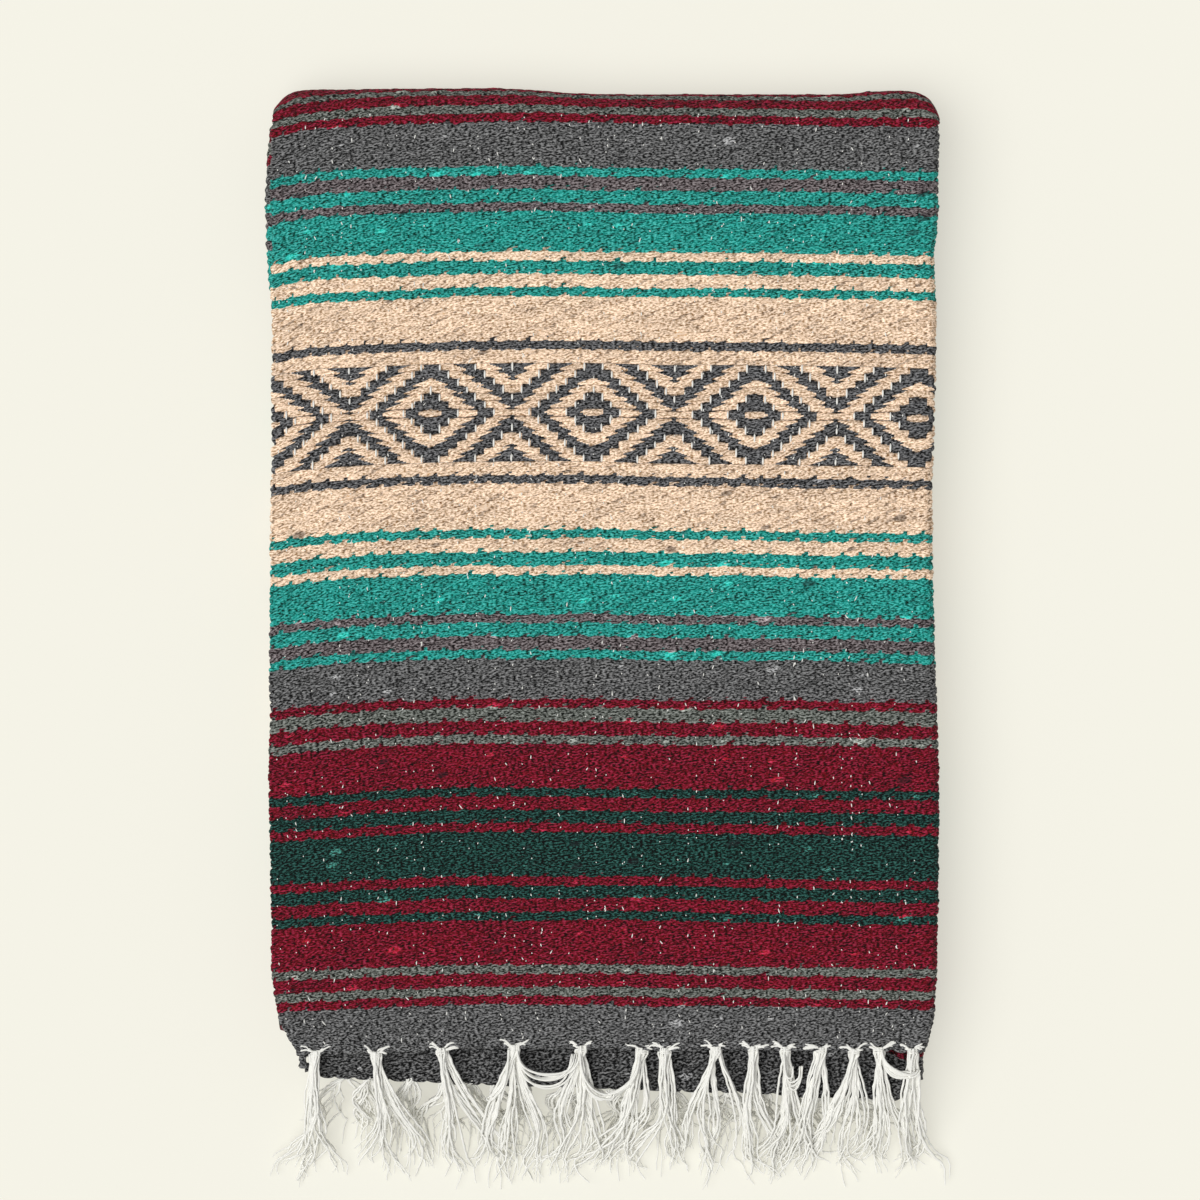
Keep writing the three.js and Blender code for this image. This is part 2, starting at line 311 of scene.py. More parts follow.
    def diamond_cell(
        self, across: np.ndarray, signed: np.ndarray
    ) -> tuple[np.ndarray, np.ndarray, np.ndarray, np.ndarray]:
        """Finds where places lie in the diamond band.

        Args:
            across: Places across the cloth.
            signed: Distances from the nearest middle of a green band.

        Returns:
            Row from the band's middle, the signed warps from the nearest diamond's middle,
            and the remaining distance from the row's own middle line, and the side of the band.
        """
        side = np.sign(signed)
        past = signed - side * self.half_repeat
        last = self.diamond_rows // 2
        row = np.clip(np.round(past / self.float_pick), -last, last)
        warps = across / self.warp - self.diamond_shift
        beside = np.mod(warps + 9, self.warps_per_diamond) - 9
        return row, beside, past - row * self.float_pick, side

    def _leaf(self, run: np.ndarray, aside: np.ndarray, length: float) -> np.ndarray:
        """The height of one pointed float.

        Args:
            run: Warps from its tie, towards its point.
            aside: Rows from its own row's middle, outwards from the band's middle.
            length: Its length in warps.

        Returns:
            Heights from 0 to 1.
        """
        half = self.leaf_half * np.clip(1 - (np.maximum(run, 0) / length) ** 1.7, 1e-6, 1) ** 0.62
        blunt = np.sqrt(np.clip((run + 0.12) / 0.3, 0, 1))
        swell = 1 - (aside / half) ** 2
        return np.sqrt(np.maximum(swell, 0)) * blunt * (0.72 + 0.28 * half / self.leaf_half)

    def _floats(self, across: np.ndarray, signed: np.ndarray) -> Relief:
        """The diamond band: pointed floats of tan and charcoal weft, tied down along diagonals."""
        own_row, beside, off_row, _ = self.diamond_cell(across, signed)
        reach = np.abs(beside)
        best = np.zeros(across.shape)
        is_tan = np.zeros(across.shape, dtype=bool)
        shade = np.zeros(across.shape)
        last = self.diamond_rows // 2
        for step in (-1, 0, 1):
            row = own_row + step
            ring = np.abs(row)
            there = ring <= last
            jitter = 0.16 * (hashed(np.floor((reach + ring + 1) / 4), row, 9.0) - 0.5)
            outward = np.where(row < 0, -1.0, 1.0) * (off_row / self.float_pick - step) + jitter
            phase = np.mod(reach + ring + 1, 4)
            lean = np.where(ring > 0, self.leaf_lean, 0.0)
            tan = self._leaf(phase, outward + lean * (phase - 1.2), 2.75)
            from_tie = 4 - phase
            dark = 0.95 * self._leaf(from_tie - 0.1, outward - lean * (from_tie - 1.2), 2.6)
            heart = (reach < 1.3) & (np.mod(ring, 4) == 1)
            filled = 0.8 * np.sqrt(np.maximum(1 - (outward / self.leaf_half) ** 2, 0))
            tan = np.where(heart, 0, tan)
            dark = np.where(heart, np.maximum(dark, filled), dark)
            for height, pale in ((tan, True), (dark, False)):
                wins = there & (height > best)
                best = np.where(wins, height, best)
                is_tan = np.where(wins, pale, is_tan)
                shade = np.where(wins, hashed(np.floor((reach + ring + 1) / 4) + 9 * pale, row, 7.0), shade)
        tan_place = (self.plain_picks - 8) * self.pick / self.half_repeat
        dark_place = (self.plain_picks - 4) * self.pick / self.half_repeat
        dye = np.where(is_tan, tan_place, dark_place)
        return Relief((best - 0.55) * self.float_depth, dye, shade, best)


@dataclass(frozen=True)
class SideRow:
    """Where the stack's left and right sides lie, at one distance in from the front edge."""

    along: float
    left: float
    right: float


SIDE_ROWS = (
    SideRow(-26, -132, 144),
    SideRow(-6, -143.5, 152),
    SideRow(0, -146, 153.5),
    SideRow(5, -151.5, 156),
    SideRow(19, -156.5, 158.6),
    SideRow(36, -158.8, 158.6),
    SideRow(120, -159.6, 159.8),
    SideRow(221, -159.8, 157),
    SideRow(278, -158.8, 156.4),
    SideRow(346, -158.6, 158.2),
    SideRow(384, -158.8, 157.2),
    SideRow(405, -159, 159.6),
    SideRow(430, -159, 160.2),
    SideRow(461, -158.4, 159.4),
)


@dataclass(frozen=True)
class Bulge:
    """A stretch where the plies under the flap stand out past it."""

    right: bool
    start: float
    end: float
    reach: float


BULGES = (Bulge(False, 354, 455, 4.6), Bulge(True, 318, 384, 2.2))


@dataclass(frozen=True)
class Stack:
    """The folded stack's layout, taken from the frame."""

    origin_x: float
    front_y: float
    height: float
    length: float
    layer: float = 2.4 * MM
    edge_fullness: float = 1.0 * MM
    corner_drop: float = 9.5 * MM
    corner_reach: float = 22 * MM
    left_swell: float = 2.2 * MM
    right_swell: float = 1.7 * MM
    edge_sag: float = 0.8 * MM
    edge_sag_reach: float = 14 * MM
    middle_fold_y: float = 3 * MM
    width: float = 1.27
    cloth_length: float = 1.887
    quarter_width: float = 0.3175
    edge_left: float = -13 * MM
    edge_right: float = -25 * MM
    second_sag: float = 4.5 * MM

    @classmethod
    def from_frame(cls) -> "Stack":
        """Reads the front edge, the sides and the height off the frame's front flap."""
        low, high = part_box("front_flap")
        widest_left = min(row.left for row in SIDE_ROWS) * MM
        return cls(low[0] - widest_left, low[1], high[2], high[1] - low[1])

    @property
    def ply(self) -> float:
        """Thickness of one ply of four layers."""
        return self.height / 4

    @property
    def turn(self) -> float:
        """Radius of a ply's round side."""
        return self.ply / 2

    @property
    def middle(self) -> float:
        """Height of the stack's middle, and the outer radius of the top fold."""
        return self.height / 2

    @property
    def fold_y(self) -> float:
        """Distance of the top fold's axis from the front edge."""
        return self.length - self.middle

    def side(self, right: bool, along: np.ndarray) -> np.ndarray:
        """Place of the flap's side, at distances in from the front edge."""
        keys = [row.along * MM for row in SIDE_ROWS]
        places = [(row.right if right else row.left) * MM for row in SIDE_ROWS]
        spread = 7 * MM
        shifts = (-spread, 0.0, spread)
        middle = sum(np.interp(along + shift, keys, places) for shift in shifts) / len(shifts)
        return middle + (self.edge_fullness if right else -self.edge_fullness)

    def under_side(self, right: bool, along: np.ndarray, share: float) -> np.ndarray:
        """Place of the under plies' side, with part of the stretches that stand out."""
        place = self.side(right, along)
        for bulge in BULGES:
            if bulge.right == right:
                part = np.clip((along / MM - bulge.start) / (bulge.end - bulge.start), 0, 1)
                reach = bulge.reach * MM * share * np.sqrt(np.sin(np.pi * part))
                place = place + (reach if right else -reach)
        return place

    def drop(self, x: np.ndarray, along: np.ndarray) -> np.ndarray:
        """How far the top fold draws back near its corners, less where it swells out."""
        inward = np.minimum(x - self.side(False, along), self.side(True, along) - x)
        share = np.clip(1 - inward / self.corner_reach, 0, 1)
        left = np.clip((-2 * MM - x) / (52 * MM), 0, 1)
        right = np.clip((x - 112 * MM) / (26 * MM), 0, 1)
        swell = self.left_swell * left * left * (3 - 2 * left)
        swell = swell + self.right_swell * right * right * (3 - 2 * right)
        return self.corner_drop * share**4 - swell

    def bow(self, x: np.ndarray, along: np.ndarray) -> np.ndarray:
        """How far the weft rows bow towards the front at each place."""
        left_share = np.clip((-50 * MM - x) / (105 * MM), 0, 1.1)
        right_share = np.clip((x + 30 * MM) / (190 * MM), 0, 1.1)
        fade = 0.8 + 0.2 * np.sin(along / (70 * MM))
        bowed = (5.2 * left_share**1.5 * fade + 2.3 * right_share**1.3) * MM
        near_left = np.clip((-126 * MM - x) / (32 * MM), 0, 1.1)
        bowed = bowed + 2.6 * MM * near_left**2 * np.clip((along - 120 * MM) / (180 * MM), 0, 1)
        bowed = bowed - (1.9 + 1.3 * np.minimum(left_share, 1)) * MM * np.clip(1 - along / (150 * MM), 0, 1)
        at_edge = np.clip(1 - along / (6 * MM), 0, 1)
        wander = (0.55 + 0.3 * at_edge) * smooth_noise(x / (34 * MM), along / (60 * MM), 11.0)
        wander = wander + 0.25 * smooth_noise(x / (13 * MM), along / (9 * MM), 12.0)
        return bowed + wander * MM

    def unevenness(self, x: np.ndarray, along: np.ndarray) -> np.ndarray:
        """Soft hollows and swells of the piled cloth."""
        broad = smooth_noise(x / (90 * MM) + 3.7, along / (75 * MM), 21.0)
        fine = smooth_noise(x / (30 * MM), along / (24 * MM), 22.0)
        return (0.75 * broad + 0.28 * fine) * MM

    def world(self, x: np.ndarray, y: np.ndarray, z: np.ndarray) -> np.ndarray:
        """Turns places counted from the front edge into frame coordinates."""
        points = np.stack([x + self.origin_x, y + self.front_y, z], axis=-1)
        return points


@dataclass
class Sheet:
    """A grid of points on the cloth, row by row, with what each point carries."""

    points: np.ndarray
    normals: np.ndarray
    across: np.ndarray
    along: np.ndarray

    def woven(self, weave: Weave, share: float = 1.0) -> Relief:
        """Raises the points by the weave and returns what it shows.

        Args:
            weave: The cloth's weave.
            share: Part of the weave's height to use.

        Returns:
            The weave at each point.
        """
        last = weave.cloth_length - weave.pick / 4
        relief = weave.relief(self.across, np.clip(self.along, weave.pick / 4, last))
        self.points = self.points + self.normals * (relief.height * share)[..., None]
        self.points[..., 2] = np.maximum(self.points[..., 2], FLOOR_GAP)
        return relief


def grid_faces(rows: int, columns: int) -> np.ndarray:
    """Quads of a grid whose points run row by row.

    Args:
        rows: Rows of points.
        columns: Points in each row.

    Returns:
        Four point numbers for each face.
    """
    corner = (np.arange(rows - 1)[:, None] * columns + np.arange(columns - 1)[None, :]).ravel()
    return np.stack([corner, corner + 1, corner + columns + 1, corner + columns], axis=1)


def mesh_piece(name: str, points: np.ndarray, faces: np.ndarray) -> bpy.types.Object:
    """Makes a mesh object and rides it on the blanket.

    Args:
        name: The piece's name.
        points: Point coordinates in metres.
        faces: Point numbers of each face, all with equally many corners.

    Returns:
        The new object.
    """
    mesh = bpy.data.meshes.new(name)
    flat = points.reshape(-1, 3).astype(np.float32)
    mesh.vertices.add(len(flat))
    mesh.vertices.foreach_set("co", flat.ravel())
    mesh.loops.add(faces.size)
    mesh.loops.foreach_set("vertex_index", faces.ravel().astype(np.int32))
    mesh.polygons.add(len(faces))
    mesh.polygons.foreach_set("loop_start", np.arange(0, faces.size, faces.shape[1], dtype=np.int32))
    mesh.update(calc_edges=True)
    mesh.shade_smooth()
    piece = bpy.data.objects.new(name, mesh)
    bpy.context.scene.collection.objects.link(piece)
    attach(piece, BODY)
    return piece


def set_map(piece: bpy.types.Object, name: str, corners: np.ndarray) -> None:
    """Gives a piece a UV map.

    Args:
        piece: The piece.
        name: The map's name.
        corners: Two coordinates for each face corner.
    """
    layer = piece.data.uv_layers.new(name=name)
    layer.data.foreach_set("uv", corners.reshape(-1).astype(np.float32))


def set_value(piece: bpy.types.Object, name: str, values: np.ndarray) -> None:
    """Gives each point of a piece a number that its finish reads."""
    attribute = piece.data.attributes.new(name, "FLOAT", "POINT")
    attribute.data.foreach_set("value", values.ravel().astype(np.float32))


def bake_corners(rows: int, columns: int, bands: int) -> np.ndarray:
    """Lays a grid's faces out in the unit square, long grids as several bands.

    Args:
        rows: Rows of points.
        columns: Points in each row.
        bands: How many bands the rows are laid out in.

    Returns:
        Two coordinates for each face corner.
    """
    margin = 0.01
    per_band = math.ceil((rows - 1) / bands)
    face_row, face_column = np.divmod(np.arange((rows - 1) * (columns - 1)), columns - 1)
    band = face_row // per_band
    corner_rows = face_row[:, None] - (band * per_band)[:, None] + np.array([0, 0, 1, 1])
    corner_columns = face_column[:, None] + np.array([0, 1, 1, 0])
    run = margin + (1 - 2 * margin) * corner_rows / per_band
    width = margin + (1 - 2 * margin) * corner_columns / (columns - 1)
    return np.stack([(band[:, None] + width) / bands, run], axis=-1)


def woven_piece(
    name: str, sheet: Sheet, weave: Weave, finish: bpy.types.Material, bands: int = 1
) -> bpy.types.Object:
    """Makes one stretch of woven cloth from a grid of points.

    Args:
        name: The piece's name.
        sheet: The grid, before the weave raises it.
        weave: The cloth's weave.
        finish: The cloth's material.
        bands: Bands of the layout that finishes are baked to.

    Returns:
        The new piece.
    """
    rows, columns = sheet.across.shape
    relief = sheet.woven(weave)
    faces = grid_faces(rows, columns)
    piece = mesh_piece(name, sheet.points, faces)
    flat = np.stack([sheet.across.ravel(), sheet.along.ravel()], axis=1)
    set_map(piece, CLOTH_MAP, flat[faces])
    set_map(piece, BAKE_MAP, bake_corners(rows, columns, bands))
    set_value(piece, "dye", relief.dye)
    set_value(piece, "yarn", relief.yarn)
    set_value(piece, "fullness", relief.fullness)
    set_value(piece, "slub", np.broadcast_to(relief.slub, relief.dye.shape))
    piece.data.materials.append(finish)
    LOG.info("%s: %d points", name, rows * columns)
    return piece


@dataclass(frozen=True)
class PathPlace:
    """Where points lie on the folded bundle's middle line, and which way it runs there."""

    y: np.ndarray
    z: np.ndarray
    run_y: np.ndarray
    run_z: np.ndarray


@dataclass(frozen=True)
class BundlePath:
    """The middle line of the four-layer bundle as it folds back and forth."""

    stack: Stack

    @property
    def outer_fold(self) -> float:
        """Cloth length taken up by the top fold on the outside."""
        return math.pi * self.stack.middle

    @property
    def inner_fold(self) -> float:
        """Cloth length taken up by the two tighter folds."""
        return math.pi * self.stack.ply

    @property
    def middle_axis(self) -> float:
        """Distance of the front fold's axis from the front edge."""
        return self.stack.middle_fold_y + self.stack.ply

    def stretches(self) -> tuple[float, ...]:
        """Cloth lengths at which each straight ply or fold begins and the last one ends."""
        flat = self.stack.fold_y - self.middle_axis
        lengths = (
            self.stack.fold_y,
            self.outer_fold,
            flat,
            self.inner_fold,
            flat,
            self.inner_fold,
            self.stack.cloth_length,
        )
        starts = [0.0]
        for length in lengths:
            starts.append(starts[-1] + length)
        return tuple(starts)

    def at(self, along: np.ndarray) -> PathPlace:
        """Finds places on the middle line.

        Args:
            along: Cloth lengths from the first woven end.

        Returns:
            The places and the line's direction at each.
        """
        starts = self.stretches()
        top, front = self.stack.fold_y, self.middle_axis
        middle, ply = self.stack.middle, self.stack.ply
        turn = ply / 2
        part = [along - start for start in starts[:-1]]
        outer = np.clip(part[1] / self.outer_fold, 0, 1) * np.pi
        lower = np.clip(part[3] / self.inner_fold, 0, 1) * np.pi
        upper = np.clip(part[5] / self.inner_fold, 0, 1) * np.pi
        still = np.zeros(along.shape)
        level = np.ones(along.shape)
        choices = (
            (along, still + 3.5 * ply, level, still),
            (
                top + 3 * turn * np.sin(outer),
                middle + 3 * turn * np.cos(outer),
                np.cos(outer),
                -np.sin(outer),
            ),
            (top - part[2], still + turn, -level, still),
            (front - turn * np.sin(lower), ply - turn * np.cos(lower), -np.cos(lower), np.sin(lower)),
            (front + part[4], still + 1.5 * ply, level, still),
            (top + turn * np.sin(upper), middle - turn * np.cos(upper), np.cos(upper), np.sin(upper)),
            (top - part[6], still + 2.5 * ply, -level, still),
        )
        which = np.clip(np.searchsorted(starts, along, side="right") - 1, 0, len(choices) - 1)
        picked = [np.select([which == k for k in range(len(choices))], list(column)) for column in zip(*choices)]
        return PathPlace(*picked)


@dataclass
class FrontFlap:
    """The uppermost layer: from the front edge to the far side of the top fold."""

    stack: Stack
    path: BundlePath
    weave: Weave
    finish: bpy.types.Material
    column_step: float = 1.45 * MM
    row_step: float = 0.5 * MM
    rim: float = 1.2 * MM
    rim_turn: float = math.radians(140)
    rim_steps: int = 6
    side_turn: float = math.radians(150)
    side_steps: int = 12
    band_reach: float = 60 * MM

    def columns(self) -> tuple[np.ndarray, np.ndarray, np.ndarray, np.ndarray]:
        """Lays out the points across the flap.

        Returns:
            For each column: the share of the flat width, the distance in from the left or
            right side, the depth below the face, and the lean of its outward direction.
        """
        rim = np.linspace(self.rim_turn, 0, self.rim_steps, endpoint=False)
        flat_count = int(self.stack.quarter_width / self.column_step)
        shares = np.linspace(0, 1, flat_count)
        turn = np.linspace(0, self.side_turn, self.side_steps + 1)[1:]
        radius = self.stack.turn
        share = np.concatenate([np.zeros(self.rim_steps), shares, np.ones(self.side_steps)])
        inward = np.concatenate(
            [self.rim * (1 - np.sin(rim)), np.full(flat_count, self.rim), radius * (1 - np.sin(turn))]
        )
        depth = np.concatenate(
            [self.rim * (1 - np.cos(rim)), np.zeros(flat_count), radius * (1 - np.cos(turn))]
        )
        lean = np.concatenate([-rim, np.zeros(flat_count), turn])
        return share, inward, depth, lean

    def surface(self, start: float, end: float) -> Sheet:
        """Shapes the flap between two cloth lengths.

        Args:
            start: Cloth length at the first row, below zero for the front edge's round rim.
            end: Cloth length at the last row.

        Returns:
            The points, their outward directions and their places on the cloth.
        """
        stack = self.stack
        rows = np.linspace(start, end, int((end - start) / self.row_step) + 1)
        share, inward, depth, lean = self.columns()
        along = np.repeat(rows[:, None], len(share), axis=1)
        share, inward = np.broadcast_to(share, along.shape), np.broadcast_to(inward, along.shape)
        depth, lean = np.broadcast_to(depth, along.shape), np.broadcast_to(lean, along.shape)
        half_width = stack.quarter_width / 2
        rough_x = -half_width + share * 2 * half_width
        line = np.maximum(along, 0) - stack.bow(rough_x, along)
        fold = np.clip((line - stack.fold_y) / stack.middle, 0, math.pi)
        line_y = np.where(line < stack.fold_y, line, stack.fold_y)
        left, right = stack.side(False, line_y), stack.side(True, line_y)
        flat_left, flat_right = left + self.rim, right - stack.turn
        x = flat_left + share * (flat_right - flat_left)
        x = np.where(lean < 0, left + inward, np.where(lean > 0, right - inward, x))
        x = x + self.edge_wobble(along, share)
        rim_angle = np.clip(-along / self.rim, 0, self.rim_turn)
        inset = np.where(along < 0, self.rim * (1 - np.sin(rim_angle)), 0)
        rim_depth = self.rim * (1 - np.cos(rim_angle))
        sag = np.clip(1 - np.maximum(line, 0) / stack.edge_sag_reach, 0, 1)
        deep = depth + rim_depth
        uneven = stack.unevenness(x, line) * np.cos(lean / 2)
        out_y, out_z = np.sin(fold), np.cos(fold)
        reach = np.where(fold > 0, stack.middle, 0)
        centre_z = np.where(fold > 0, stack.middle, stack.height)
        y = line_y + out_y * (reach - deep + uneven)
        z = centre_z + out_z * (reach - deep + uneven)
        z = np.where(fold > 0, z, stack.height - deep + uneven - stack.edge_sag * sag**2)
        y = y - stack.drop(x, line_y) * out_y**2
        y = np.where(along < 0, y + inset - self.rim, y)
        normal_x = np.sin(lean) * np.cos(rim_angle)
        facing = np.cos(lean) * np.cos(rim_angle)
        normals = np.stack([normal_x, out_y * facing - np.sin(rim_angle), out_z * facing], axis=-1)
        normals = normals / np.linalg.norm(normals, axis=-1, keepdims=True)
        across = share * stack.quarter_width + stack.turn * np.maximum(lean, 0)
        across = across + self.rim * np.minimum(lean, 0)
        return Sheet(stack.world(x, y, z), normals, across, along)

    def edge_wobble(self, along: np.ndarray, share: np.ndarray) -> np.ndarray:
        """Small unevenness of the two sides, from row to row and over longer stretches."""
        side = 2 * share - 1
        slow = 0.5 * smooth_noise(along / (21 * MM), side * 0 + 3.0 * (side > 0), 31.0)
        quick = 0.32 * smooth_noise(along / (2.6 * MM), side * 0 + 5.0 * (side > 0), 32.0)
        return (slow + quick) * MM * np.abs(side) ** 8

    def build(self) -> list[bpy.types.Object]:
        """Builds the flap in four stretches.

        Returns:
            The front bands, the bands above them, the diamond band, and the top fold.
        """
        diamonds = self.weave.first_green + self.weave.half_repeat
        lower_end = diamonds - self.band_reach
        end = self.stack.fold_y + self.path.outer_fold
        start = -self.rim_turn * self.rim
        limits = (start, lower_end / 2, lower_end, diamonds + self.band_reach, end)
        names = ("flap_front_bands", "flap_lower_bands", "flap_diamond_band", "flap_top_fold")
        pieces = []
        for name, low, high in zip(names, limits, limits[1:]):
            piece = woven_piece(name, self.surface(low, high), self.weave, self.finish)
            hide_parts("front_flap")
            pieces.append(piece)
        return pieces


@dataclass(frozen=True)
class SideStrip:
    """A rounded side seen along the folded bundle: a layer's edge, or a turn of the cloth."""

    name: str
    right: bool
    offset: float
    radius: float
    across: float
    start: float
    end: float
    inset: float
    steps: int
    open_angle: float = math.radians(112)


@dataclass
class FoldedLayers:
    """All that shows of the plies under the flap: both sides and the front fold."""

    stack: Stack
    path: BundlePath
    weave: Weave
    finish: bpy.types.Material
    row_step: float = 0.8 * MM
    fold_columns: float = 2.2 * MM
    fold_rows: float = 0.8 * MM
    core_inset: float = 3.6 * MM
    core_step: float = 4 * MM
    core_ends: int = 3

    def strips(self) -> tuple[SideStrip, ...]:
        """The sides to build, from the bundle's outside to its inside."""
        stack = self.stack
        layer = stack.layer
        behind_flap = stack.fold_y + self.path.outer_fold
        last = stack.cloth_length - 6 * MM
        quarter = stack.quarter_width
        return (
            SideStrip("right_turns", True, 0, stack.turn, quarter, behind_flap, last, 0.7 * MM, 14),
            SideStrip("left_outer_edges", False, 1.5 * layer, layer / 2, 0, behind_flap, last, 0.5 * MM, 6),
            SideStrip("left_second_edges", False, 0.5 * layer, layer / 2, 4 * quarter, 0.0, last, 1.2 * MM, 6),
            SideStrip("left_turns", False, -layer, layer, 2 * quarter, 0.0, last, 0.6 * MM, 9),
        )

    def side_place(self, strip: SideStrip, place: PathPlace, along: np.ndarray) -> np.ndarray:
        """Finds how far out a strip lies.

        Args:
            strip: The strip.
            place: Its places on the bundle's middle line.
            along: Its cloth lengths.

        Returns:
            The outermost x at each place.
        """
        stack = self.stack
        in_second_ply = (place.z > stack.middle) & (along > 2 * stack.length)
        share = np.where(in_second_ply, 1.0, 0.3)
        outer = stack.under_side(strip.right, np.clip(place.y, 0, stack.length), share)
        sign = 1.0 if strip.right else -1.0
        salt = 40.0 + strip.offset / MM
        slow = smooth_noise(along / (37 * MM), along * 0, salt)
        quick = smooth_noise(along / (3.1 * MM), along * 0, salt + 1)
        lies_low = np.where(in_second_ply, 0.0, 0.7)
        wander = 0.7 * slow + 0.3 * quick - lies_low
        return outer + sign * (wander * MM - strip.inset)

    def strip_sheet(self, strip: SideStrip) -> Sheet:
        """Shapes one side strip.

        Args:
            strip: The strip.

        Returns:
            Its grid of points.
        """
        stack = self.stack
        rows = np.linspace(strip.start, strip.end, int((strip.end - strip.start) / self.row_step))
        angles = np.linspace(-strip.open_angle, strip.open_angle, strip.steps)
        along, angle = np.meshgrid(rows, angles, indexing="ij")
        sign = 1.0 if strip.right else -1.0
        bow = stack.bow(np.full(along.shape, sign * stack.quarter_width / 2), along)
        place = self.path.at(np.clip(along - bow, 0, None))
        outermost = self.side_place(strip, place, along)
        lift_y, lift_z = -place.run_z, place.run_y
        out = strip.offset + strip.radius * np.sin(angle)
        x = outermost - sign * strip.radius * (1 - np.cos(angle))
        y = place.y + lift_y * out
        z = place.z + lift_z * out
        past = np.maximum(y - stack.fold_y, 0)
        outward = past / np.maximum(np.hypot(past, z - stack.middle), 1e-6)
        y = y - stack.drop(x, np.minimum(y, stack.fold_y)) * outward**2
        over = np.maximum(-y, 0) / -stack.edge_right
        z = np.where(z > stack.middle, z - stack.second_sag * over**1.5, z)
        normals = np.stack(
            [sign * np.cos(angle), lift_y * np.sin(angle), lift_z * np.sin(angle)], axis=-1
        )
        if strip.right:
            across = strip.across - strip.radius * angle
            order = slice(None)
        else:
            across = strip.across + strip.radius * angle
            order = slice(None, None, -1)
        points = stack.world(x, y, z)
        return Sheet(points[:, order], normals[:, order], across[:, order], along[:, order])

    def front_fold(self) -> Sheet:
        """Shapes the fold of the two lowest plies at the front, seen under the fringe."""
        stack = self.stack
        starts = self.path.stretches()
        begin, finish = starts[3] - 6 * MM, starts[4] + 3 * MM
        rows = np.linspace(begin, finish, int((finish - begin) / self.fold_rows))
        left, right = stack.side(False, np.zeros(1))[0], stack.side(True, np.zeros(1))[0]
        spots = np.linspace(left + 1.5 * MM, right - 1.5 * MM, int((right - left) / self.fold_columns))
        along, x = np.meshgrid(rows, spots, indexing="ij")
        place = self.path.at(along)
        lift_y, lift_z = -place.run_z, place.run_y
        out = stack.turn + 0.5 * smooth_noise(x / (45 * MM), along / (12 * MM), 51.0) * MM
        y = place.y + lift_y * out
        z = np.maximum(place.z + lift_z * out, 0.4 * MM)
        normals = np.stack([along * 0, lift_y, lift_z], axis=-1)
        sheet = Sheet(stack.world(x, y, z), normals, x - left, along)
        return sheet

    def inner_layers(self) -> Sheet:
        """Shapes the body of the layers deep inside, which closes the slits between the plies.

        Returns:
            Its grid of points, drawn together at both sides.
        """
        stack = self.stack
        half = stack.middle - self.core_inset
        front, back = stack.middle_fold_y + half + self.core_inset, stack.fold_y
        straight, turn = back - front, math.pi * half
        loop = 2 * (straight + turn)
        rows = np.linspace(0, loop, int(loop / self.core_step))
        low = stack.side(False, np.full(1, stack.length / 2))[0] + self.core_inset
        high = stack.side(True, np.full(1, stack.length / 2))[0] - self.core_inset
        count = int((high - low) / self.core_step)
        ends = np.linspace(0, 1, self.core_ends, endpoint=False)
        fullness = np.concatenate([ends, np.ones(count), ends[::-1]])
        spots = np.concatenate([np.full(self.core_ends, low), np.linspace(low, high, count), np.full(self.core_ends, high)])
        along, x = np.meshgrid(rows, spots, indexing="ij")
        thick = np.broadcast_to(fullness, along.shape) * half
        back_angle = np.clip((along - straight) / half, 0, math.pi)
        front_angle = np.clip((along - 2 * straight - turn) / half, 0, math.pi)
        on_top = np.minimum(along, straight)
        below = np.clip(along - straight - turn, 0, straight)
        angle = back_angle + front_angle
        y = front + on_top - below + thick * np.sin(angle)
        z = stack.middle + thick * np.cos(angle)
        normals = np.stack([along_zero(x), np.sin(angle), np.cos(angle)], axis=-1)
        return Sheet(stack.world(x, y, z), normals, x - low, along)

    def build(self) -> list[bpy.types.Object]:
        """Builds the side strips, the front fold and the layers inside.

        Returns:
            The pieces.
        """
        pieces = []
        sheet = self.inner_layers()
        inner = woven_piece("inner_layers", sheet, self.weave, self.finish)
        pieces.append(inner)
        for strip in self.strips():
            sheet = self.strip_sheet(strip)
            piece = woven_piece(strip.name, sheet, self.weave, self.finish, bands=12)
            pieces.append(piece)
        sheet = self.front_fold()
        fold = woven_piece("front_fold", sheet, self.weave, self.finish)
        pieces.append(fold)
        for piece in pieces:
            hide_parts("folded_layers")
        return pieces


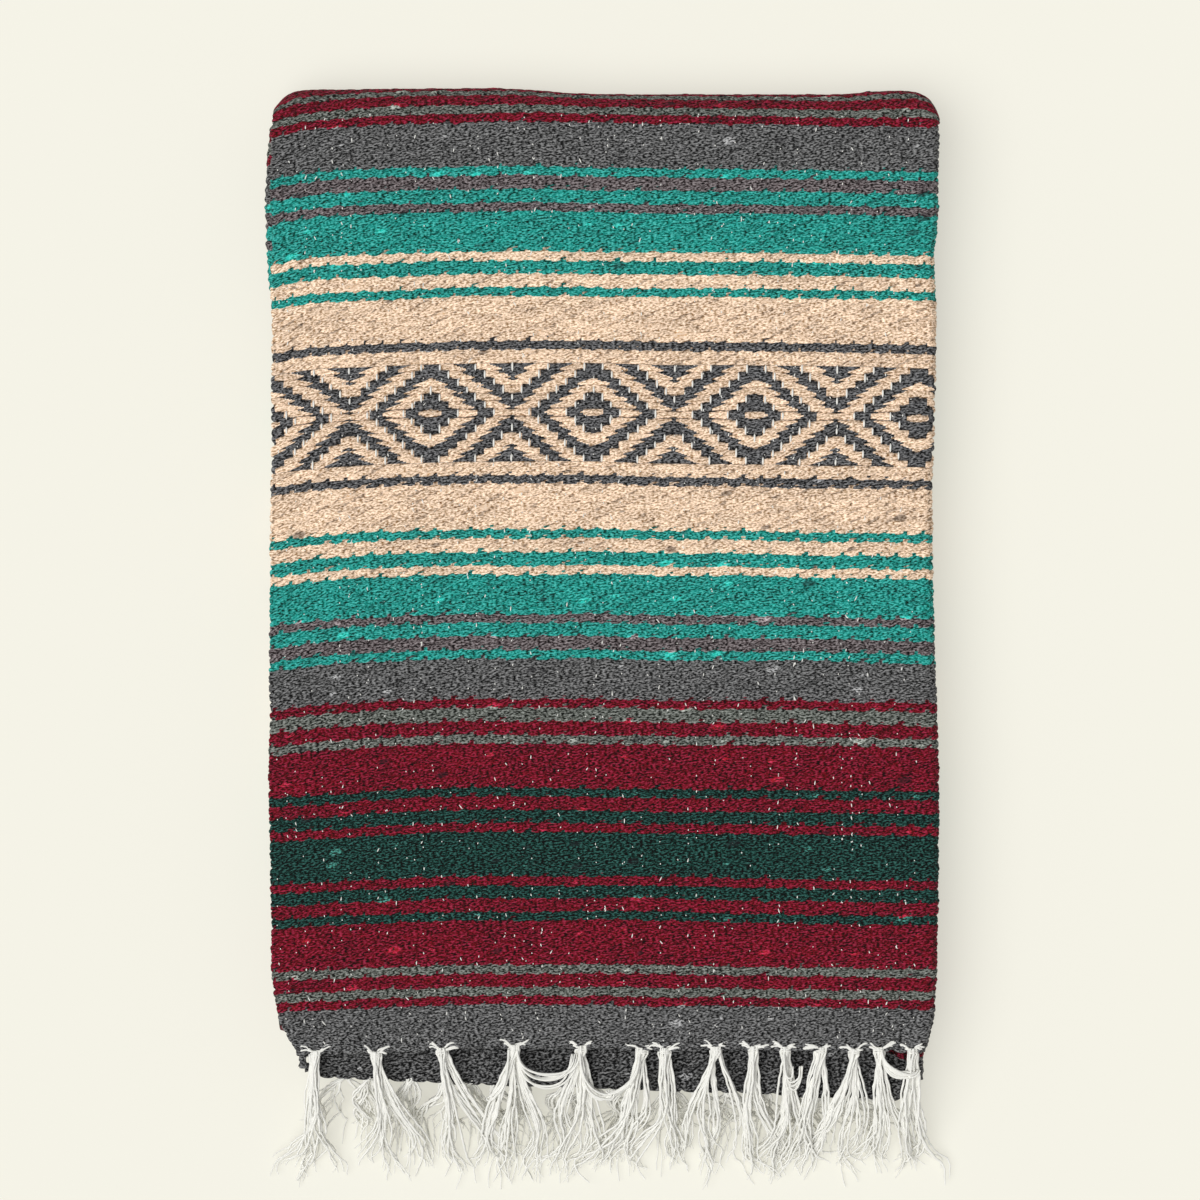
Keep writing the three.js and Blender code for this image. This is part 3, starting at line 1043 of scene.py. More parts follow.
@dataclass
class WovenEnds:
    """The blanket's two woven ends at the front: the second end's face and the layers' edges."""

    stack: Stack
    path: BundlePath
    weave: Weave
    finish: bpy.types.Material
    inset: float = 1.5 * MM
    tuck: float = 12 * MM
    column_step: float = 1.25 * MM
    row_step: float = 0.7 * MM
    rim: float = 1.2 * MM
    rim_turn: float = math.radians(130)
    edge_steps: int = 8

    def second_edge(self, x: np.ndarray) -> np.ndarray:
        """Place of the second woven edge, askew and a little wavy."""
        share = (x + self.stack.quarter_width / 2) / self.stack.quarter_width
        edge = self.stack.edge_left + share * (self.stack.edge_right - self.stack.edge_left)
        return edge + 0.9 * MM * smooth_noise(x / (26 * MM), x * 0, 61.0)

    def second_height(self, y: np.ndarray) -> np.ndarray:
        """Height of the second end's face, sagging past the plies below."""
        over = np.maximum(-y, 0) / -self.stack.edge_right
        return self.stack.height - self.stack.ply - self.stack.second_sag * over**1.5

    def second_face(self) -> Sheet:
        """Shapes the top layer of the second end."""
        stack = self.stack
        left, right = stack.side(False, np.zeros(1))[0], stack.side(True, np.zeros(1))[0]
        count = int((right - left) / self.column_step)
        deepest = self.tuck - stack.edge_right
        rows = np.linspace(-self.rim * self.rim_turn, deepest, int(deepest / self.row_step))
        from_edge, share = np.meshgrid(rows, np.linspace(0, 1, count), indexing="ij")
        rough_x = left + share * (right - left)
        edge = self.second_edge(rough_x)
        run = np.maximum(from_edge, 0) * (self.tuck - edge) / deepest
        angle = np.clip(-from_edge / self.rim, 0, self.rim_turn)
        y = edge + run + self.rim * (1 - np.sin(angle)) * (from_edge < 0) - self.rim * (from_edge < 0)
        side_y = np.minimum(y, 0)
        low = stack.side(False, side_y) + self.inset
        high = stack.side(True, side_y) - self.inset
        x = low + share * (high - low)
        near_side = np.minimum(share, 1 - share) * (high - low)
        rolled = 3.2 * MM * np.clip(1 - near_side / (3.5 * MM), 0, 1) ** 2
        uneven = 0.8 * smooth_noise(x / (30 * MM), y / (20 * MM), 62.0) * MM
        z = self.second_height(y) - self.rim * (1 - np.cos(angle)) - rolled + uneven
        normals = np.stack([along_zero(x), -np.sin(angle), np.cos(angle)], axis=-1)
        across = 2 * stack.quarter_width - (x - left)
        closer = 0.64 + 0.44 * share**20
        along = stack.cloth_length - from_edge * closer
        return Sheet(stack.world(x, y, z), normals, across, along)

    def edge_strip(self, second: bool, level: int) -> Sheet:
        """Shapes the woven edge of one layer behind the top one.

        Args:
            second: Whether it belongs to the second end.
            level: Layers below the top one of its ply.

        Returns:
            Its grid of points.
        """
        stack = self.stack
        left, right = stack.side(False, np.zeros(1))[0], stack.side(True, np.zeros(1))[0]
        spots = np.linspace(left + 2 * self.inset, right - 2 * self.inset, int((right - left) / self.column_step))
        angles = np.linspace(-math.radians(100), math.radians(100), self.edge_steps)
        angle, x = np.meshgrid(angles, spots, indexing="ij")
        if second:
            front = self.second_edge(x) + (1.2 * level) * MM
            top = self.second_height(front)
            along = stack.cloth_length - self.rim * (1 + angle)
        else:
            front = 1.5 * MM - stack.bow(x, x * 0) * 0.7 + 0.4 * level * MM
            top = stack.height - 0.4 * MM + x * 0
            along = self.rim * (1 + angle)
        wander = 0.8 * smooth_noise(x / (22 * MM), x * 0, 70.0 + level + 5 * second)
        y = front + wander * MM + self.rim * (1 - np.cos(angle))
        z = top - (level + 0.5) * stack.layer + self.rim * np.sin(angle)
        normals = np.stack([along_zero(x), -np.cos(angle), np.sin(angle)], axis=-1)
        return Sheet(stack.world(x, y, z), normals, x - left + level * stack.quarter_width, along)

    def build(self) -> list[bpy.types.Object]:
        """Builds the second end's face and the edges of the layers behind.

        Returns:
            The pieces.
        """
        sheet = self.second_face()
        face = woven_piece("second_end_face", sheet, self.weave, self.finish)
        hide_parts("second_end")
        pieces = [face]
        for second in (False, True):
            for level in (1, 2, 3):
                name = f"{'second' if second else 'first'}_end_layer_{level}"
                strip = self.edge_strip(second, level)
                piece = woven_piece(name, strip, self.weave, self.finish)
                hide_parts("second_end" if second else "folded_layers")
                pieces.append(piece)
        return pieces


def along_zero(values: np.ndarray) -> np.ndarray:
    """Zeros of the same shape."""
    return np.zeros(values.shape)


def yarn_mesh(
    name: str, paths: np.ndarray, radii: np.ndarray, sides: int, twist: float = 0.0
) -> bpy.types.Object:
    """Makes many strands of yarn as one piece.

    Args:
        name: The piece's name.
        paths: Points of each strand, as strands by points by three.
        radii: Radius at each point, as strands by points.
        sides: Sides of the strands' section.
        twist: Turns of the two plies for each metre, or 0 for round yarn.

    Returns:
        The new piece, without a finish.
    """
    count, steps, _ = paths.shape
    runs = np.gradient(paths, axis=1)
    runs = runs / np.maximum(np.linalg.norm(runs, axis=2, keepdims=True), 1e-12)
    lengths = np.linalg.norm(np.diff(paths, axis=1), axis=2)
    distance = np.concatenate([np.zeros((count, 1)), np.cumsum(lengths, axis=1)], axis=1)
    side = np.cross(runs[:, 0], np.array([0.31, 0.17, 0.93]))
    side = side / np.linalg.norm(side, axis=1, keepdims=True)
    points = np.zeros((count, steps, sides, 3))
    angles = np.linspace(0, 2 * np.pi, sides, endpoint=False)
    for step in range(steps):
        run = runs[:, step]
        side = side - np.sum(side * run, axis=1, keepdims=True) * run
        side = side / np.maximum(np.linalg.norm(side, axis=1, keepdims=True), 1e-9)
        other = np.cross(run, side)
        lobes = 1 + (0.16 * np.cos(2 * (angles - 2 * np.pi * twist * distance[:, step, None])) if twist else 0)
        reach = radii[:, step, None] * lobes * np.ones(sides)
        ring = side[:, None, :] * (reach * np.cos(angles))[..., None]
        ring = ring + other[:, None, :] * (reach * np.sin(angles))[..., None]
        points[:, step] = paths[:, step, None, :] + ring
    corner = np.arange(steps - 1)[:, None] * sides + np.arange(sides)[None, :]
    beside = np.arange(steps - 1)[:, None] * sides + (np.arange(sides)[None, :] + 1) % sides
    quads = np.stack([corner, beside, beside + sides, corner + sides], axis=-1).reshape(-1, 4)
    faces = (quads[None] + (np.arange(count) * steps * sides)[:, None, None]).reshape(-1, 4)
    piece = mesh_piece(name, points, faces)
    face_step, face_side = np.divmod(np.arange((steps - 1) * sides), sides)
    around = (face_side[:, None] + np.array([0, 1, 1, 0])) / sides
    along_strand = face_step[:, None] + np.array([0, 0, 1, 1])
    flat = np.zeros((count, len(quads), 4, 2))
    flat[..., 0] = around[None] + np.arange(count)[:, None, None] * 3.0
    flat[..., 1] = distance[:, along_strand]
    set_map(piece, STRAND_MAP, flat)
    cells = math.ceil(math.sqrt(count * 6))
    lines = math.ceil(count / cells)
    cell, line = np.arange(count) % cells, np.arange(count) // cells
    laid = np.zeros((count, len(quads), 4, 2))
    laid[..., 0] = (cell[:, None, None] + 0.06 + 0.88 * around[None]) / cells
    laid[..., 1] = (line[:, None, None] + 0.02 + 0.96 * along_strand[None] / (steps - 1)) / lines
    set_map(piece, BAKE_MAP, laid)
    return piece


@dataclass(frozen=True)
class Tassel:
    """One knotted bunch of warp ends: where it hangs and how it falls."""

    place: float
    lean: float
    fan: float
    strands: int
    back: float = 0.0


FRONT_TASSELS = (
    Tassel(-139, -7, 15, 22),
    Tassel(-110, 8, 18, 24, 1.5),
    Tassel(-78, 19, 16, 26, 1.2),
    Tassel(-43.5, -2, 24, 32),
    Tassel(-11, -6, 20, 26),
    Tassel(18, -16, 14, 22, 0.5),
    Tassel(29, 1, 14, 20),
    Tassel(53.5, 0, 22, 26),
    Tassel(71.3, 7, 12, 22),
    Tassel(87, -1, 15, 24),
    Tassel(104, -11, 14, 22),
    Tassel(120, -10, 18, 24, 0.5),
    Tassel(132, 6, 15, 24),
    Tassel(148, 7, 14, 18),
)


@dataclass(frozen=True)
class Loop:
    """A loose bunch of yarn that sags from one knot towards another place."""

    start: float
    end: float
    sag: float
    end_back: float
    strands: int


LOOPS = (
    Loop(-42, -14, 15, 2, 9),
    Loop(-46, -55, 9, 24, 7),
    Loop(-12, 4, 12, 20, 6),
    Loop(17, 3, 9, 20, 8),
    Loop(86, 93, 13, 8, 7),
    Loop(133, 150, 7, 10, 9),
)


@dataclass(frozen=True)
class Fall:
    """How strands fall from a woven edge to the floor, as distances from the front edge."""

    lead: float
    landing: float
    tip: float
    flare_y: float
    flare_z: float


@dataclass
class Fringe:
    """The knotted white fringe of both woven ends."""

    stack: Stack
    ends: WovenEnds
    finish: bpy.types.Material
    steps: int = 30
    sides: int = 5
    strand_radius: float = 0.54 * MM
    neck_radius: float = 2.3 * MM
    twist: float = 260.0
    fall_share: float = 0.76
    front_fall: Fall = Fall(28 * MM, -58 * MM, -73 * MM, 7 * MM, 4 * MM)
    second_fall: Fall = Fall(9 * MM, -42 * MM, -70 * MM, 9 * MM, 1 * MM)
    seed: int = 7
    random: np.random.Generator = field(init=False)

    def __post_init__(self) -> None:
        """Seeds the fringe's own chance."""
        self.random = np.random.default_rng(self.seed)

    def fall_line(self, edge: np.ndarray, slope: float, fall: Fall, share: np.ndarray) -> np.ndarray:
        """Follows a falling strand.

        Args:
            edge: Its start, as y and z.
            slope: Slope of the cloth at the edge.
            fall: Sizes of the fall.
            share: Shares of the strand's length.

        Returns:
            The y and z at each share.
        """
        landing = np.array([fall.landing, 1.1 * MM])
        lead = edge + np.array([-fall.lead, -fall.lead * slope])
        flare = landing + np.array([fall.flare_y, fall.flare_z])
        part = np.clip(share / self.fall_share, 0, 1)[:, None]
        bend = (1 - part) ** 3 * edge + 3 * (1 - part) ** 2 * part * lead
        bend = bend + 3 * (1 - part) * part**2 * flare + part**3 * landing
        rest = np.clip((share - self.fall_share) / (1 - self.fall_share), 0, 1)
        bend[:, 0] = bend[:, 0] + rest * (fall.tip - fall.landing)
        return bend

    def bunch(self, tassel: Tassel, edge_y: float, edge_z: float, slope: float, fall: Fall) -> np.ndarray:
        """Lays out the strands of one tassel.

        Args:
            tassel: The tassel.
            edge_y: Place of the woven edge.
            edge_z: Height of the cloth there.
            slope: Slope of the cloth there.
            fall: Sizes of the fall.

        Returns:
            Strands by points by three.
        """
        chance = self.random
        strands = []
        base = np.linspace(0, 1, self.steps)
        locks = int(chance.integers(3, 5))
        drifts = np.linspace(-0.75, 0.75, locks) + chance.uniform(-0.25, 0.25, locks)
        swings = chance.uniform(2.0, 6.5, locks) * chance.choice([-1, 1], locks)
        turns = chance.uniform(0.6, 1.35, locks)
        reaches = chance.uniform(0.8, 1.0, locks)
        for number in range(tassel.strands):
            lock = number * locks // tassel.strands
            length = reaches[lock] * chance.uniform(0.84, 1.0)
            share = base * length
            line = self.fall_line(np.array([edge_y, edge_z]), slope, fall, share)
            turn = 2 * math.pi * number / tassel.strands + chance.uniform(-0.3, 0.3)
            ring = self.neck_radius * math.sqrt(chance.uniform(0.1, 1))
            spread = (drifts[lock] + chance.normal(0, 0.16)) * tassel.fan * MM
            opened = np.clip((share - 0.03) / 0.75, 0, 1) ** chance.uniform(0.7, 1.0)
            neck = 0.35 * np.exp(-(((share - 0.02) / 0.03) ** 2)) - 0.2 * np.exp(-(((share - 0.08) / 0.04) ** 2))
            x = tassel.place * MM + math.cos(turn) * ring * (1 + neck)
            x = x + tassel.lean * MM * np.clip(share / 0.8, 0, 1) ** 1.2 + spread * opened
            swing = swings[lock] * MM * np.sin(2 * math.pi * turns[lock] * share + lock) * np.clip(2.2 * share, 0, 1)
            wave = chance.uniform(0.3, 1.5) * MM * np.clip(share * 3, 0, 1)
            pace, start = chance.uniform(1.2, 3.2), chance.uniform(0, 2 * math.pi)
            hook = chance.normal(0, 3.5) * MM * np.clip((share / length - 0.68) / 0.32, 0, 1) ** 1.6
            x = x + swing + hook + wave * np.sin(2 * math.pi * pace * share + start)
            crimp = 0.2 * MM * np.sin(share * chance.uniform(60, 100) + start)
            pull = chance.uniform(-3, 3) * MM * np.clip(share * 1.5, 0, 1)
            y = line[:, 0] + pull + 0.4 * np.abs(hook) + 0.7 * wave * np.cos(2 * math.pi * pace * 1.3 * share + start)
            thick = math.sin(turn) * ring * (1 - 0.6 * np.clip(share * 1.4, 0, 1))
            high = chance.uniform(0, 3.5) * MM * np.clip(share * 2, 0, 1)
            z = np.maximum(line[:, 1] + thick + 0.8 * crimp + high, self.strand_radius)
            strands.append(np.stack([x + crimp, y, z], axis=1))
        return np.array(strands)

    def whiskers(self, place: float, edge_y: float, top: float) -> np.ndarray:
        """Lays out the short warp ends that run from the cloth into a knot.

        Args:
            place: The knot's x.
            edge_y: Place of the woven edge.
            top: Height of the cloth's face.

        Returns:
            Strands by points by three.
        """
        chance = self.random
        share = np.linspace(0, 1, self.steps)
        strands = []
        for side in (-1, -1, -1, 1, 1, 1):
            out = side * chance.uniform(2.8, 8.5) * MM
            back = chance.uniform(-0.8, 2.6) * MM
            x = place + out * (1 - share) ** 0.9
            y = edge_y + back * (1 - share) - 1.2 * MM * share**2
            hump = 0.55 * MM * np.sin(math.pi * share) ** 0.7
            z = top + hump + 0.35 * MM - 0.6 * MM * share**2 - 0.5 * MM * (share < 0.03)
            y = y + 0.4 * MM * np.sin(5 * share + out / MM)
            strands.append(np.stack([x, y, z], axis=1))
        return np.array(strands)

    def loop(self, loop: Loop, top: float) -> np.ndarray:
        """Lays out one loose bunch.

        Args:
            loop: The bunch.
            top: Height of the cloth's face.

        Returns:
            Strands by points by three.
        """
        chance = self.random
        share = np.linspace(0, 1, self.steps)
        strands = []
        for _ in range(loop.strands):
            sag = loop.sag * chance.uniform(0.75, 1.2)
            end = loop.end + chance.normal(0, 1.2)
            x = loop.start + (end - loop.start) * (share - 0.12 * np.sin(2 * math.pi * share))
            wave = chance.uniform(0.3, 1.1) * np.sin(chance.uniform(5, 9) * share + chance.uniform(0, 6))
            y = -loop.end_back * share - sag * np.sin(math.pi * share) + wave * np.sin(math.pi * share)
            z = 1.5 + 2.5 * np.sin(math.pi * share) - 0.55 * np.maximum(-y - 6, 0) + chance.uniform(-0.8, 0.8)
            z = np.maximum(z * MM + top - 1 * MM, self.strand_radius)
            strands.append(np.stack([x * MM + 0.5 * wave * MM * share, y * MM, z], axis=1))
        return np.array(strands)

    def knot(self, place: float, y: float, z: float, radius: float) -> np.ndarray:
        """Lays out a knot's two turns round its tassel's neck."""
        share = np.linspace(0, 1, self.steps)
        turn = 2 * math.pi * 2.1 * share + self.random.uniform(0, 6)
        x = place + radius * np.cos(turn)
        loop_z = z + 0.8 * radius * np.sin(turn)
        loop_y = y - (share - 0.5) * 2.2 * MM + 0.3 * MM * np.sin(turn)
        return np.stack([x, loop_y, loop_z], axis=1)[None]

    def radii(self, paths: np.ndarray, thin_tip: bool = True) -> np.ndarray:
        """Gives strands their radius at each point, with a thinner tip."""
        share = np.linspace(0, 1, paths.shape[1])
        taper = 1 - (0.55 * share**6 if thin_tip else 0)
        own = self.random.uniform(0.82, 1.15, paths.shape[0])
        return self.strand_radius * own[:, None] * taper[None, :]

    def front_strands(self) -> np.ndarray:
        """Lays out the fringe of the top layer's woven edge."""
        stack = self.stack
        top = stack.height - stack.edge_sag
        slope = 2 * stack.edge_sag / stack.edge_sag_reach
        groups = []
        for tassel in FRONT_TASSELS:
            place = tassel.place * MM
            edge_y = float(-stack.bow(np.array([place]), np.zeros(1))[0]) - tassel.back * MM
            groups.append(self.bunch(tassel, edge_y + 0.5 * MM, top - 0.6 * MM, slope, self.front_fall))
            groups.append(self.whiskers(place, edge_y + 0.8 * MM, top))
            groups.append(self.knot(place, edge_y - 1.6 * MM, top - 0.7 * MM, self.neck_radius))
        for loop in LOOPS:
            groups.append(self.loop(loop, top))
        return np.concatenate(groups)

    def second_strands(self) -> np.ndarray:
        """Lays out the fringe of the second woven end."""
        chance = self.random
        groups = []
        for place in np.arange(-128, 140, 15.5):
            spot = place + chance.uniform(-4, 4)
            tassel = Tassel(spot, chance.uniform(-10, 10), chance.uniform(12, 22), int(chance.integers(14, 19)))
            edge_y = float(self.ends.second_edge(np.array([spot * MM]))[0])
            edge_z = float(self.ends.second_height(np.array([edge_y]))[0]) - 2.5 * MM
            groups.append(self.bunch(tassel, edge_y + 1 * MM, edge_z, 0.3, self.second_fall))
        return np.concatenate(groups)

    def build(self) -> list[bpy.types.Object]:
        """Builds the two rows of fringe.

        Returns:
            The pieces.
        """
        pieces = []
        rows = (
            ("front_fringe_strands", "front_fringe", self.front_strands()),
            ("second_fringe_strands", "second_fringe", self.second_strands()),
        )
        for name, node, strands in rows:
            paths = self.stack.world(strands[..., 0], strands[..., 1], strands[..., 2])
            piece = yarn_mesh(name, paths, self.radii(paths), self.sides, self.twist)
            piece.data.materials.append(self.finish)
            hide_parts(node)
            LOG.info("%s: %d strands", name, len(strands))
            pieces.append(piece)
        return pieces


@dataclass
class WarpYarns:
    """White warp that shows on the face: ties in the diamond band and flecks between beads."""

    stack: Stack
    flap: FrontFlap
    weave: Weave
    finish: bpy.types.Material
    tie_radius: float = 0.5 * MM
    tie_length: float = 3.9 * MM
    fleck_radius: float = 0.3 * MM
    fleck_count: int = 1500
    seed: int = 19

    def on_flap(self, across: np.ndarray, along: np.ndarray, lift: float) -> np.ndarray:
        """Places points on the flap's face.

        Args:
            across: Distances from the left selvedge.
            along: Cloth lengths.
            lift: Height above the middle of the weave.

        Returns:
            The points in frame coordinates.
        """
        stack = self.stack
        share = across / stack.quarter_width
        rough_x = (share - 0.5) * stack.quarter_width
        line = np.maximum(along, 0) - stack.bow(rough_x, along)
        fold = np.clip((line - stack.fold_y) / stack.middle, 0, math.pi)
        line_y = np.minimum(line, stack.fold_y)
        left, right = stack.side(False, line_y) + self.flap.rim, stack.side(True, line_y) - stack.turn
        x = left + share * (right - left)
        high = stack.unevenness(x, line) + lift
        y = line_y + np.sin(fold) * (stack.middle + high) - stack.drop(x, line_y) * np.sin(fold) ** 2
        sag = np.clip(1 - np.maximum(line, 0) / stack.edge_sag_reach, 0, 1)
        flat_z = stack.height + high - stack.edge_sag * sag**2
        z = np.where(fold > 0, stack.middle + np.cos(fold) * (stack.middle + high), flat_z)
        return stack.world(x, y, z)

    def ties(self) -> np.ndarray:
        """Lays out the ties of the diamond band."""
        weave = self.weave
        centre = weave.first_green + weave.half_repeat
        warps = np.arange(1, int(self.stack.quarter_width / weave.warp) - 1)
        paths = []
        chance = np.random.default_rng(self.seed)
        last = weave.diamond_rows // 2
        for row in range(-last, last + 1):
            signed = np.full(warps.shape, weave.half_repeat) + row * weave.float_pick
            _, beside, _, _ = weave.diamond_cell(warps * weave.warp, signed)
            offset = np.round(beside) - beside
            phase = np.mod(np.abs(np.round(beside)) + abs(row), 4)
            chosen = np.abs(phase - 3) < 0.5
            for warp, shift in zip(warps[chosen], offset[chosen]):
                if chance.uniform() < 0.12:
                    continue
                share = np.linspace(-0.5, 0.5, 6)
                length = self.tie_length * chance.uniform(0.75, 1.15)
                across = np.full(6, (warp + shift) * weave.warp) + chance.uniform(-0.3, 0.3) * MM
                along = centre + row * weave.float_pick + share * length
                lift = (0.85 - 2.2 * share**2) * MM
                paths.append(self.on_flap(across, along, 0.0) + np.array([0, 0, 1.0]) * lift[:, None])
        return np.array(paths)

    def flecks(self) -> np.ndarray:
        """Lays out flecks in loose lines along the warp."""
        weave = self.weave
        chance = np.random.default_rng(self.seed + 1)
        warps = int(self.stack.quarter_width / weave.warp)
        busy = 0.3 + chance.uniform(0, 1, warps) ** 2
        picked = chance.choice(warps, self.fleck_count, p=busy / busy.sum())
        along = chance.uniform(2 * MM, self.stack.fold_y + 0.3 * self.path_reach(), self.fleck_count)
        length = (0.6 + 2.2 * chance.uniform(0, 1, self.fleck_count) ** 3) * MM
        share = np.linspace(-0.5, 0.5, 4)
        tilt = chance.normal(0, 0.35, (self.fleck_count, 1)) * length[:, None] * share[None]
        spot = chance.normal(0, 0.4, (self.fleck_count, 1)) * MM
        across = (picked + 0.5)[:, None] * weave.warp + spot + tilt
        rows = along[:, None] + share[None] * length[:, None]
        lift = (0.30 - 1.2 * share**2) * MM
        points = self.on_flap(across, rows, 0.0)
        points[..., 2] += lift[None]
        return points

    def path_reach(self) -> float:
        """Cloth length of the part of the top fold that is seen from above."""
        return math.pi / 2 * self.stack.middle

    def build(self) -> list[bpy.types.Object]:
        """Builds the ties and the flecks.

        Returns:
            The pieces.
        """
        pieces = []
        for name, paths, radius in (
            ("warp_ties", self.ties(), self.tie_radius),
            ("warp_flecks", self.flecks(), self.fleck_radius),
        ):
            share = np.linspace(-1, 1, paths.shape[1])
            radii = radius * np.sqrt(np.clip(1.05 - share**4, 0.05, 1))
            piece = yarn_mesh(name, paths, np.repeat(radii[None], len(paths), axis=0), 5)
            piece.data.materials.append(self.finish)
            LOG.info("%s: %d", name, len(paths))
            pieces.append(piece)
        return pieces


class NodeWork:
    """Shorthand for building a material's nodes."""

    def __init__(self, name: str) -> None:
        """Starts an empty material.

        Args:
            name: The material's name.
        """
        self.material = bpy.data.materials.new(name)
        self.material.use_nodes = True
        self.tree = self.material.node_tree
        self.tree.nodes.clear()

    def add(self, kind: str, **settings: object) -> bpy.types.Node:
        """Adds a node and sets its own properties."""
        node = self.tree.nodes.new(kind)
        for name, value in settings.items():
            setattr(node, name, value)
        return node

    def link(self, start: bpy.types.NodeSocket, end: bpy.types.NodeSocket) -> None:
        """Joins two sockets."""
        self.tree.links.new(start, end)

    def fill(self, value: object, socket: bpy.types.NodeSocket) -> None:
        """Feeds a socket from another socket, or sets it."""
        if isinstance(value, bpy.types.NodeSocket):
            self.link(value, socket)
        else:
            socket.default_value = value

    def math(self, operation: str, first: object, second: object = 0.0) -> bpy.types.NodeSocket:
        """Adds a math node with the given operation on two values and returns its result."""
        node = self.add("ShaderNodeMath", operation=operation)
        self.fill(first, node.inputs[0])
        self.fill(second, node.inputs[1])
        return node.outputs[0]

    def ranged(self, value: object, low: float, high: float, to_low: float, to_high: float) -> bpy.types.NodeSocket:
        """Adds a smooth change of range and returns its result."""
        node = self.add("ShaderNodeMapRange", interpolation_type="SMOOTHSTEP")
        for place, part in enumerate((value, low, high, to_low, to_high)):
            self.fill(part, node.inputs[place])
        return node.outputs[0]

    def mixed(self, share: object, first: object, second: object, way: str = "MIX") -> bpy.types.NodeSocket:
        """Adds a blend of two colours and returns its result."""
        node = self.add("ShaderNodeMix", data_type="RGBA", blend_type=way)
        self.fill(share, node.inputs["Factor"])
        self.fill(first, node.inputs[6])
        self.fill(second, node.inputs[7])
        return node.outputs[2]

    def noise(self, vector: bpy.types.NodeSocket, scale: float, detail: float) -> bpy.types.NodeSocket:
        """Adds noise and returns its value."""
        node = self.add("ShaderNodeTexNoise")
        self.link(vector, node.inputs["Vector"])
        node.inputs["Scale"].default_value = scale
        node.inputs["Detail"].default_value = detail
        return node.outputs["Fac"]

    def placed(
        self, map_name: str, scale: tuple[float, float, float], turn: float = 0.0
    ) -> bpy.types.NodeSocket:
        """Adds a UV map with its own scale and turn, and returns its vector."""
        source = self.add("ShaderNodeUVMap", uv_map=map_name)
        turned = self.add("ShaderNodeVectorRotate", rotation_type="Z_AXIS")
        self.link(source.outputs["UV"], turned.inputs["Vector"])
        turned.inputs["Angle"].default_value = turn
        mapping = self.add("ShaderNodeMapping")
        self.link(turned.outputs["Vector"], mapping.inputs["Vector"])
        mapping.inputs["Scale"].default_value = scale
        return mapping.outputs["Vector"]

    def attribute(self, name: str) -> bpy.types.NodeSocket:
        """Adds a point value and returns it."""
        return self.add("ShaderNodeAttribute", attribute_name=name).outputs["Fac"]

    def finish(self, shader: bpy.types.Node) -> bpy.types.Material:
        """Sends a shader to the output and returns the material."""
        output = self.add("ShaderNodeOutputMaterial")
        self.link(shader.outputs[0], output.inputs["Surface"])
        return self.material


